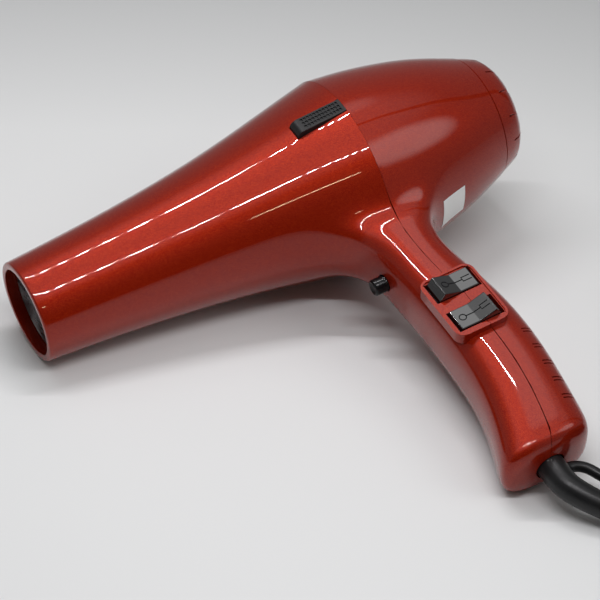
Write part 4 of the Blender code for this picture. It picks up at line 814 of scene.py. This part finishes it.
def grip_cover():
    """The black cover with rows of square pits."""
    start, end = GRIP_START_X + GAP, SEAM_X - SEAM_GAP
    top_front = SEAM_RADIUS - GRIP_TOP_DROP
    slope = (SEAM_RADIUS + 0.0001 - top_front) / (end - start)
    half = GRIP_WIDTH / 2
    nose = GRIP_NOSE

    def top(x):
        lift = top_front + slope * (x - start)
        if x < start + nose:
            lift -= nose * (1 - math.sin(math.acos(max(0.0, 1 - (x - start) / nose))))
        return lift

    def pit_edges(low, high, count):
        pitch = (high - low) / count
        for i in range(count):
            yield from (low + pitch * (i + GRIP_BAR / 2), low + pitch * (i + 1 - GRIP_BAR / 2))

    rounding = [start + nose * (1 - math.cos(a)) for a in np.radians(np.linspace(0, 90, 7))]
    xs = [*rounding, *pit_edges(start + nose + 0.0010, end - 0.0012, GRIP_COLUMNS), end]
    ys = [-half, -half + GRIP_EDGE, *pit_edges(0.0007 - half, half - 0.0007, GRIP_ROWS),
          half - GRIP_EDGE, half]
    shape = bmesh.new()
    grid = [[shape.verts.new((x, y, top(x) - (0.0002 if abs(y) == half else 0.0)))
             for y in ys] for x in xs]
    pits = []
    for i in range(len(xs) - 1):
        for j in range(len(ys) - 1):
            face = shape.faces.new((grid[i][j], grid[i + 1][j], grid[i + 1][j + 1],
                                    grid[i][j + 1]))
            column, row = i - len(rounding), j - 2
            if 0 <= column < 2 * GRIP_COLUMNS and 0 <= row < 2 * GRIP_ROWS \
                    and column % 2 == row % 2 == 0:
                pits.append(face)
    bmesh.ops.inset_individual(shape, faces=pits, thickness=GRIP_PIT_SLOPE, depth=0.0)
    for face in pits:
        for vertex in face.verts:
            vertex.co.z -= GRIP_PIT_DEPTH
    border = [edge for edge in shape.edges if edge.is_boundary]
    walls = bmesh.ops.extrude_edge_only(shape, edges=border)
    for item in walls["geom"]:
        if isinstance(item, bmesh.types.BMVert):
            item.co.z = (SEAM_RADIUS - (GRIP_POCKET_DEPTH - GAP)) - (end - item.co.x) * 0.30
    cover = add_shape("grip_cover", shape, SATIN_BLACK)
    cover.matrix_world = Matrix.Rotation(math.pi / 2, 4, "X")
    return in_place(cover, "dryer", "black_plastic", "grip_pad", angle=30)


# -------- switches
def rocker(kind, z, tilt):
    """The cap with its two sloping halves, and the marks on it."""
    crest_y = ROCKER_VALLEY + ROCKER_CREST_X * math.tan(ROCKER_TILT)
    half = [(0.0, ROCKER_VALLEY), (ROCKER_CREST_X, crest_y),
            (ROCKER_BASE_X, ROCKER_SKIRT + ROCKER_SKIRT_RISE),
            (ROCKER_BASE_X, ROCKER_SKIRT - ROCKER_SKIRT_DROP)]
    outline = half + [(-x, y) for x, y in reversed(half[1:])]
    cap = as_mesh(plate(f"{kind}_rocker_cap", outline, ROCKER_WIDTH, ROCKER_BLACK))
    cap = as_mesh(rounded(cap, ROCKER_ROUNDING, 3, 25), FINE_WELD)
    turn = Matrix.Translation((ROCKER_X, ROCKER_PIVOT_Y, z)) @ Matrix.Rotation(tilt, 4, "Z") \
        @ Matrix.Rotation(math.pi, 4, "X")
    cap.matrix_world = turn
    body = f"{kind}_rocker"
    in_place(cap, body, "black_plastic", body, angle=5)
    for mark in rocker_marks(kind):
        mark.matrix_world = turn
        in_place(mark, body, "black_plastic")


def rocker_marks(kind):
    """A ring on the front half joined to a two-pronged fork on the rear half, in relief."""
    def on_face(x, side):
        return (x, ROCKER_VALLEY + abs(x) * math.tan(ROCKER_TILT), side)

    centre, radius = MARK_RING
    root, tip, half = MARK_FORK
    lines = ([on_face(centre + radius * math.cos(a), radius * math.sin(a))
              for a in np.radians(range(0, 361, 15))],
             [on_face(tip, -half), on_face(root, -half), on_face(root, half), on_face(tip, half)],
             [on_face(centre + radius, 0.0), on_face(0.0, 0.0), on_face(root, 0.0)])
    return [as_mesh(tube(f"{kind}_mark_{i}", points, MARK_RADIUS, MARK, 2))
            for i, points in enumerate(lines)]


def cool_button():
    """A stem with a flange at its rear end and a dished face with a rounded edge."""
    stem, edge = COOL_FLANGE_X - COOL_END_X, COOL_RADIUS
    profile = ((stem + COOL_FLANGE_DEPTH, 0.0), (stem + COOL_FLANGE_DEPTH, COOL_FLANGE_RADIUS),
               (stem, COOL_FLANGE_RADIUS), (stem, edge), (0.0009, edge),
               (0.0004, edge - 0.00012), (0.00015, edge - 0.0004), (0.0, edge - 0.0008),
               (0.0001, edge - 0.0011), (0.0005, 0.0018), (0.0007, 0.0))
    button = turned("cool_button", profile, BUTTON_BLACK, 48)
    button.location = (COOL_END_X, 0.0, COOL_Z)
    return in_place(as_mesh(button), "cool_shot_button", "black_plastic", "cool_shot_button")


# -------- nozzle grille
def grille_ring(name, end, outer, wall, collection=None):
    inner = outer - wall
    profile = ((end, inner), (end, outer), (GRILLE_X, outer), (GRILLE_X, inner))
    return as_mesh(turned(name, profile, GRILLE_BLACK, 64, collection, closed=True))


def nozzle_grille():
    """A deep collar with five rings and three blades that cross at the middle."""
    collar = grille_ring("grille_collar", GRILLE_END_X, GRILLE_RADIUS, GRILLE_COLLAR_WALL)
    pieces = []
    for i in range(GRILLE_RINGS):
        outer = GRILLE_RADIUS - GRILLE_RING_FIRST - GRILLE_RING_PITCH * i
        pieces.append(grille_ring(f"grille_ring_{i}", GRILLE_X + GRILLE_RING_DEPTH, outer,
                                  GRILLE_RING_WALL, CUTTERS))
    for i in range(GRILLE_BLADES):
        blade = box(f"grille_blade_{i}", (GRILLE_X + 0.0004, -GRILLE_RADIUS + 0.0005, -0.0005),
                    (GRILLE_END_X - 0.0004, GRILLE_RADIUS - 0.0005, 0.0005))
        blade.rotation_euler = (math.pi * (i + 0.5) / GRILLE_BLADES, 0.0, 0.0)
        pieces.append(as_mesh(blade))
    collar = solid(rounded(solid(fuse(collar, *pieces)), 0.00015, 2, 50))
    collar.name = "nozzle_grille_rings"
    return in_place(collar, "dryer", "black_plastic", "nozzle_grille")


# -------- rear cap
def rear_cap():
    """A domed shell with a skirt in the mouth, slots, and short grooves on its rim."""
    mouth = outer_radius(CAP_X) - 0.0005
    rim = CAP_RIM_RADIUS
    seat = CAP_X + GAP
    skirt = outer_radius(CAP_X) - WALL - 2 * GAP
    skirt_end = CAP_X - CAP_SKIRT_DEPTH
    outside = [(CAP_END_X, 0.0), (CAP_END_X, 0.0100), (CAP_END_X - 0.0002, rim - 0.0060),
               (CAP_END_X - 0.0010, rim - 0.0030), (CAP_RIM_X + 0.0012, rim - 0.0012),
               (CAP_RIM_X + 0.0004, rim - 0.0004), (CAP_RIM_X - 0.0006, rim + 0.0004),
               ((CAP_RIM_X + CAP_X) / 2, (rim + mouth) / 2 + 0.0003),
               (seat + 0.0004, mouth), (seat, mouth - 0.0004), (seat, skirt),
               (skirt_end, skirt), (skirt_end, skirt - CAP_WALL),
               (CAP_X + 0.0020, skirt - CAP_WALL), (CAP_RIM_X - 0.0010, rim - CAP_WALL - 0.0008),
               (CAP_END_X - CAP_WALL, rim - 0.0070), (CAP_END_X - CAP_WALL, 0.0)]
    cap = as_mesh(turned("rear_air_cap", outside, RED, 8 * CAP_SLOTS))
    shape = bmesh.new()
    for low, high, start, width in CAP_CUTS:
        for i in range(CAP_SLOTS):
            matrix = (Matrix.Rotation(2 * math.pi * (i + 0.5) / CAP_SLOTS, 4, "X")
                      @ Matrix.Translation(((start + BEHIND_CAP_X) / 2, 0.0, (low + high) / 2))
                      @ Matrix.Diagonal((BEHIND_CAP_X - start, width, high - low, 1)))
            bmesh.ops.create_cube(shape, size=1.0, matrix=matrix)
    slots = as_mesh(rounded(add_shape("cap_slots", shape, None, CUTTERS), 0.00025, 2))
    cap = solid(cut(cap, slots))
    return in_place(cap, "rear_cap", "red_shell", "rear_filter_cap")


def bare_label(carrier):
    """A thin patch laid on the carrier."""
    tree = BVHTree.FromPolygons([vertex.co for vertex in carrier.data.vertices],
                                [face.vertices for face in carrier.data.polygons])
    shape = bmesh.new()
    rows = []
    for x in np.linspace(*LABEL_X, 14):
        row = []
        for angle in np.radians(np.linspace(*LABEL_ANGLES, 16)):
            out = Vector((0.0, -math.sin(angle), -math.cos(angle)))
            start = DRYER @ (Vector((x, 0.0, 0.0)) + out * 2 * SEAM_RADIUS)
            heading = DRYER.to_3x3() @ -out
            place = tree.ray_cast(start, heading)[0]
            row.append(shape.verts.new(place - heading * LABEL_LIFT))
        rows.append(row)
    for first, second in zip(rows, rows[1:]):
        for a, b, c, d in zip(first, first[1:], second[1:], second):
            shape.faces.new((a, b, c, d))
    bmesh.ops.recalc_face_normals(shape, faces=shape.faces)
    patch = add_shape("bare_label", shape, LABEL)
    return in_place(patch, "dryer", "black_plastic", matrix=Matrix.Identity(4))


# -------- strain relief and cord
def strain_sleeve():
    """The tapering sleeve and its hanging loop, melted into one piece."""
    drop = RELIEF_END_RADIUS + GAP - EXIT_POINT.z
    path = [EXIT_POINT + Vector((x, y, drop * share)) for x, y, share in RELIEF_ROUTE]
    route = [DRYER @ Vector((EXIT_X, 0.0, HANDLE_END_Z + WALL + GAP + 0.0010)),
             *smooth_path(path, 0.0020)]
    sleeve = tube("strain_sleeve", route, 1.0, RUBBER, 8)
    points = sleeve.data.splines[0].points
    for i, point in enumerate(points):
        share = max(0.0, (i - 1) / (len(points) - 2))
        point.radius = RELIEF_START_RADIUS + (RELIEF_END_RADIUS - RELIEF_START_RADIUS) * share
    route_round = smooth_path([EXIT_POINT + Vector(point) for point in LOOP_ROUTE], 0.0015)
    loop = as_mesh(tube("relief_loop", route_round, LOOP_RADIUS, None, 6, CUTTERS))
    sleeve = solid(fuse(as_mesh(sleeve), loop))
    remesh = sleeve.modifiers.new("fuse", "REMESH")
    remesh.mode = "VOXEL"
    remesh.voxel_size = 0.0005
    soften = sleeve.modifiers.new("soften", "SMOOTH")
    soften.iterations = 6
    soften.factor = 0.6
    sleeve = solid(sleeve)
    in_place(sleeve, "dryer", "black_rubber", "strain_relief", matrix=Matrix.Identity(4), angle=60)
    return sleeve, route[-1], (route[-1] - route[-2]).normalized()


def cord_points(start, heading):
    """From the sleeve, along the table, into three columns and four layers of turns."""
    outer = COIL_OUTER_RADIUS
    to_centre = (COIL_CENTRE - start).xy
    angle = math.atan2(to_centre.y, to_centre.x) - math.asin(outer / to_centre.length)
    reach = math.sqrt(to_centre.length ** 2 - outer ** 2)
    direction = Vector((math.cos(angle), math.sin(angle), 0.0))
    height = CORD_RADIUS + GAP
    first = start + heading * GAP
    lead = smooth_path([first, first + heading * 0.004,
                        *[Vector((*(start + direction * reach * share).xy, height))
                          for share in (0.45, 0.75, 1.0)]], 0.0040)
    begin = math.atan2(-direction.x, direction.y)
    turns = COIL_COLUMNS * COIL_LAYERS
    total = 360 * turns - (math.degrees(begin - COIL_END_ANGLE)) % 360
    turn_centre, out, side = tail_frame()
    top = turn_centre.z

    def ease(value):
        value = min(1.0, max(0.0, value))
        return value * value * (3 - 2 * value)

    def radius_of(degrees):
        radius = outer
        for i in range(1, turns):
            layer, step = divmod(i, COIL_COLUMNS)
            if step:
                radius += (COIL_PITCH if layer % 2 else -COIL_PITCH) \
                    * ease((degrees - 360 * i + 90) / 60)
        return radius

    def height_of(degrees):
        value = height
        for layer in range(1, COIL_LAYERS):
            value += COIL_PITCH * ease((degrees - 360 * layer * COIL_COLUMNS + 30) / 60)
        return value + (top - height - COIL_PITCH * (COIL_LAYERS - 1)) \
            * ease((degrees - total + 75) / 70)

    coil = []
    for degrees in np.linspace(0, total, int(total / 8)):
        turned_by = begin + math.radians(degrees)
        radius = radius_of(degrees)
        coil.append(Vector((COIL_CENTRE.x + radius * math.cos(turned_by),
                            COIL_CENTRE.y + radius * math.sin(turned_by), height_of(degrees))))
    tail = [turn_centre + (out * math.cos(a) + side * math.sin(a)) * TAIL_BEND
            for a in np.radians(range(10, 91, 10))]
    tail.append(tail[-1] - out * 0.004)
    return lead + coil[1:] + tail


def power_cord(start, heading):
    points = cord_points(start, heading)
    cord = tube("power_lead", points, CORD_RADIUS, CORD, 4)
    cord.data.splines[0].use_smooth = True
    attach(cord, "dryer")
    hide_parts("power_cord", "cord_coil", "cord_tail")


def plug_body():
    """Moulded two-pin plug with a grooved grip, lying on the coil."""
    turn_centre, out, side = tail_frame()
    back = turn_centre + side * TAIL_BEND - out * (0.004 + GAP)
    lift = PLUG_THICKNESS / 2 - CORD_RADIUS
    half = PLUG_WIDTH / 2
    outline = [(0.0, 0.0065), (0.0120, 0.0075), (0.0200, half - 0.0030),
               (0.0240, half), (PLUG_LENGTH - 0.0010, half), (PLUG_LENGTH, half - 0.0010)]
    outline += [(x, -y) for x, y in reversed(outline)]
    body = as_mesh(plate("plug_grip", outline, PLUG_THICKNESS, SATIN_BLACK))
    for i, (start, end) in enumerate(PLUG_GROOVES):
        cut(body, box(f"groove_{i}", (start, -0.012, PLUG_THICKNESS / 2 - 0.0006),
                      (end, 0.012, PLUG_THICKNESS / 2 + 0.001)))
    body = solid(rounded(solid(body), 0.0012, 4, 40))
    turn = Matrix((-out, -side, Vector((0.0, 0.0, 1.0)))).transposed().to_4x4()
    place = Matrix.Translation(back + Vector((0.0, 0.0, lift))) @ turn
    return in_place(body, "dryer", "black_plastic", "plug_body", matrix=place)


# ======== the dryer
plug_piece = plug_body()
sleeve, sleeve_end, sleeve_heading = strain_sleeve()
power_cord(sleeve_end, sleeve_heading)
rear_shell = housings()
switch_pad()
grip_cover()
for kind, height, tilt in ROCKERS:
    rocker(kind, height, tilt)
cool_button()
nozzle_grille()
rear_cap()
bare_label(rear_shell)


# ======== studio
def stage_floor(size):
    shape = bmesh.new()
    bmesh.ops.create_grid(shape, x_segments=1, y_segments=1, size=size / 2)
    add_shape("floor", shape, floor_look())


def floor_look():
    """Pale paper, with painted shade that darkens its colour towards the back of the light box."""
    pale = (0.690, 0.705, 0.700)
    material, tree, shader = new_material("floor", pale, 0.6, 0.0, 0.0, 0.03, 0.2)
    # painted shade: the base colour fades from pale to a darker grey towards the back, standing in
    # for the light falling off there
    depth = dot(tree, position(tree), (0.46, 0.80, 0.0))
    painted_falloff = spread(tree, depth, 0.0, 1.0, 0.16, 0.32)
    tree.links.new(blend_colours(tree, painted_falloff, pale, (0.520, 0.530, 0.530)),
                   shader.inputs["Base Color"])
    return material


def area_light(name, location, rotation, size, power, colour):
    data = bpy.data.lights.new(name, "AREA")
    data.energy = power
    data.shape = "RECTANGLE"
    data.size, data.size_y = size
    data.color = colour
    light = bpy.data.objects.new(name, data)
    SCENE.collection.objects.link(light)
    light.location = location
    light.rotation_euler = rotation


# The studio is a light box turned to face the camera: an open dark front, dim sides, a paler
# ceiling with two rows of small lamps, and one brighter panel to the right.
BOX_ACROSS = Vector((0.866, -0.500, 0.0))
BOX_BACK = Vector((0.500, 0.866, 0.0))
LAMP_HEIGHT = 0.50
LAMP_ROWS = (("rear_lamp", (-0.050, 0.170)), ("front_lamp", (-0.070, -0.204)))
LAMP_COUNT = 36
LAMP_PITCH = 0.0103
LAMP_POWER = 0.0287
LAMP_SIZE = (0.0050, 0.0060)
WARM_TUBE = Vector((-0.375, -2.025, 1.60))


def lamp_rows():
    turn = (0.0, 0.0, math.atan2(BOX_ACROSS.y, BOX_ACROSS.x))
    for name, (x, y) in LAMP_ROWS:
        for i in range(LAMP_COUNT):
            offset = LAMP_PITCH * (i - (LAMP_COUNT - 1) / 2)
            place = Vector((x, y, LAMP_HEIGHT)) + BOX_ACROSS * offset
            area_light(f"{name}_{i:02d}", place, turn, LAMP_SIZE, LAMP_POWER, (1.0, 0.97, 1.0))


def studio_world():
    """The light box as the world's strength: walls by height and side, then two panels."""
    world = bpy.data.worlds.new("studio")
    world.use_nodes = True
    tree = world.node_tree
    direction = tree.nodes.new("ShaderNodeTexCoord").outputs["Generated"]

    def calc(operation, first, second=0.0):
        node = add_node(tree, "Math", {0: first, 1: second})
        node.operation = operation
        return node.outputs["Value"]

    def ramp(value, low, high, start=0.0, end=1.0):
        return spread(tree, value, start, end, low, high, "SMOOTHSTEP")

    def towards(x, y, z=0.0):
        return dot(tree, direction, (x, y, z))

    height = towards(0.0, 0.0, 1.0)
    level = calc("SQRT", calc("SUBTRACT", 1.0001, calc("MULTIPLY", height, height)))
    front = calc("DIVIDE", towards(*-BOX_BACK), level)
    opening = ramp(height, 0.10, 0.72, 0.015, 0.085)
    side = ramp(front, 0.62, 0.80, 0.24, opening)
    corner = calc("ABSOLUTE", calc("DIVIDE", towards(0.0, 1.0), level))
    seam = calc("MULTIPLY", ramp(corner, 0.03, 0.07, 0.85, 0.0),
                ramp(towards(1.0, 0.0), 0.2, 0.3))
    walls = ramp(height, 0.72, 0.88, side, 0.70)
    walls = calc("MULTIPLY", walls, calc("SUBTRACT", 1.0, seam))
    panel = ramp(towards(0.526, -0.526, 0.669), 0.950, 0.990, 0.0, 2.4)
    soft = ramp(towards(0.249, 0.398, 0.883), 0.975, 0.996, 0.0, 0.8)
    background = tree.nodes["Background"]
    tree.links.new(calc("ADD", walls, calc("ADD", panel, soft)), background.inputs["Strength"])
    background.inputs["Color"].default_value = (1.0, 1.0, 1.0, 1.0)
    SCENE.world = world


stage_floor(8.0)
lamp_rows()
studio_world()
heading = Vector((0.0, 0.0, 0.05)) - WARM_TUBE
area_light("warm_tube", WARM_TUBE, heading.to_track_quat("-Z", "Y").to_euler(), (0.19, 0.014),
           0.60, (1.0, 0.80, 0.50))
SCENE.view_settings.view_transform = "Standard"


# ======== clearing away the cutters
drop_cutters()
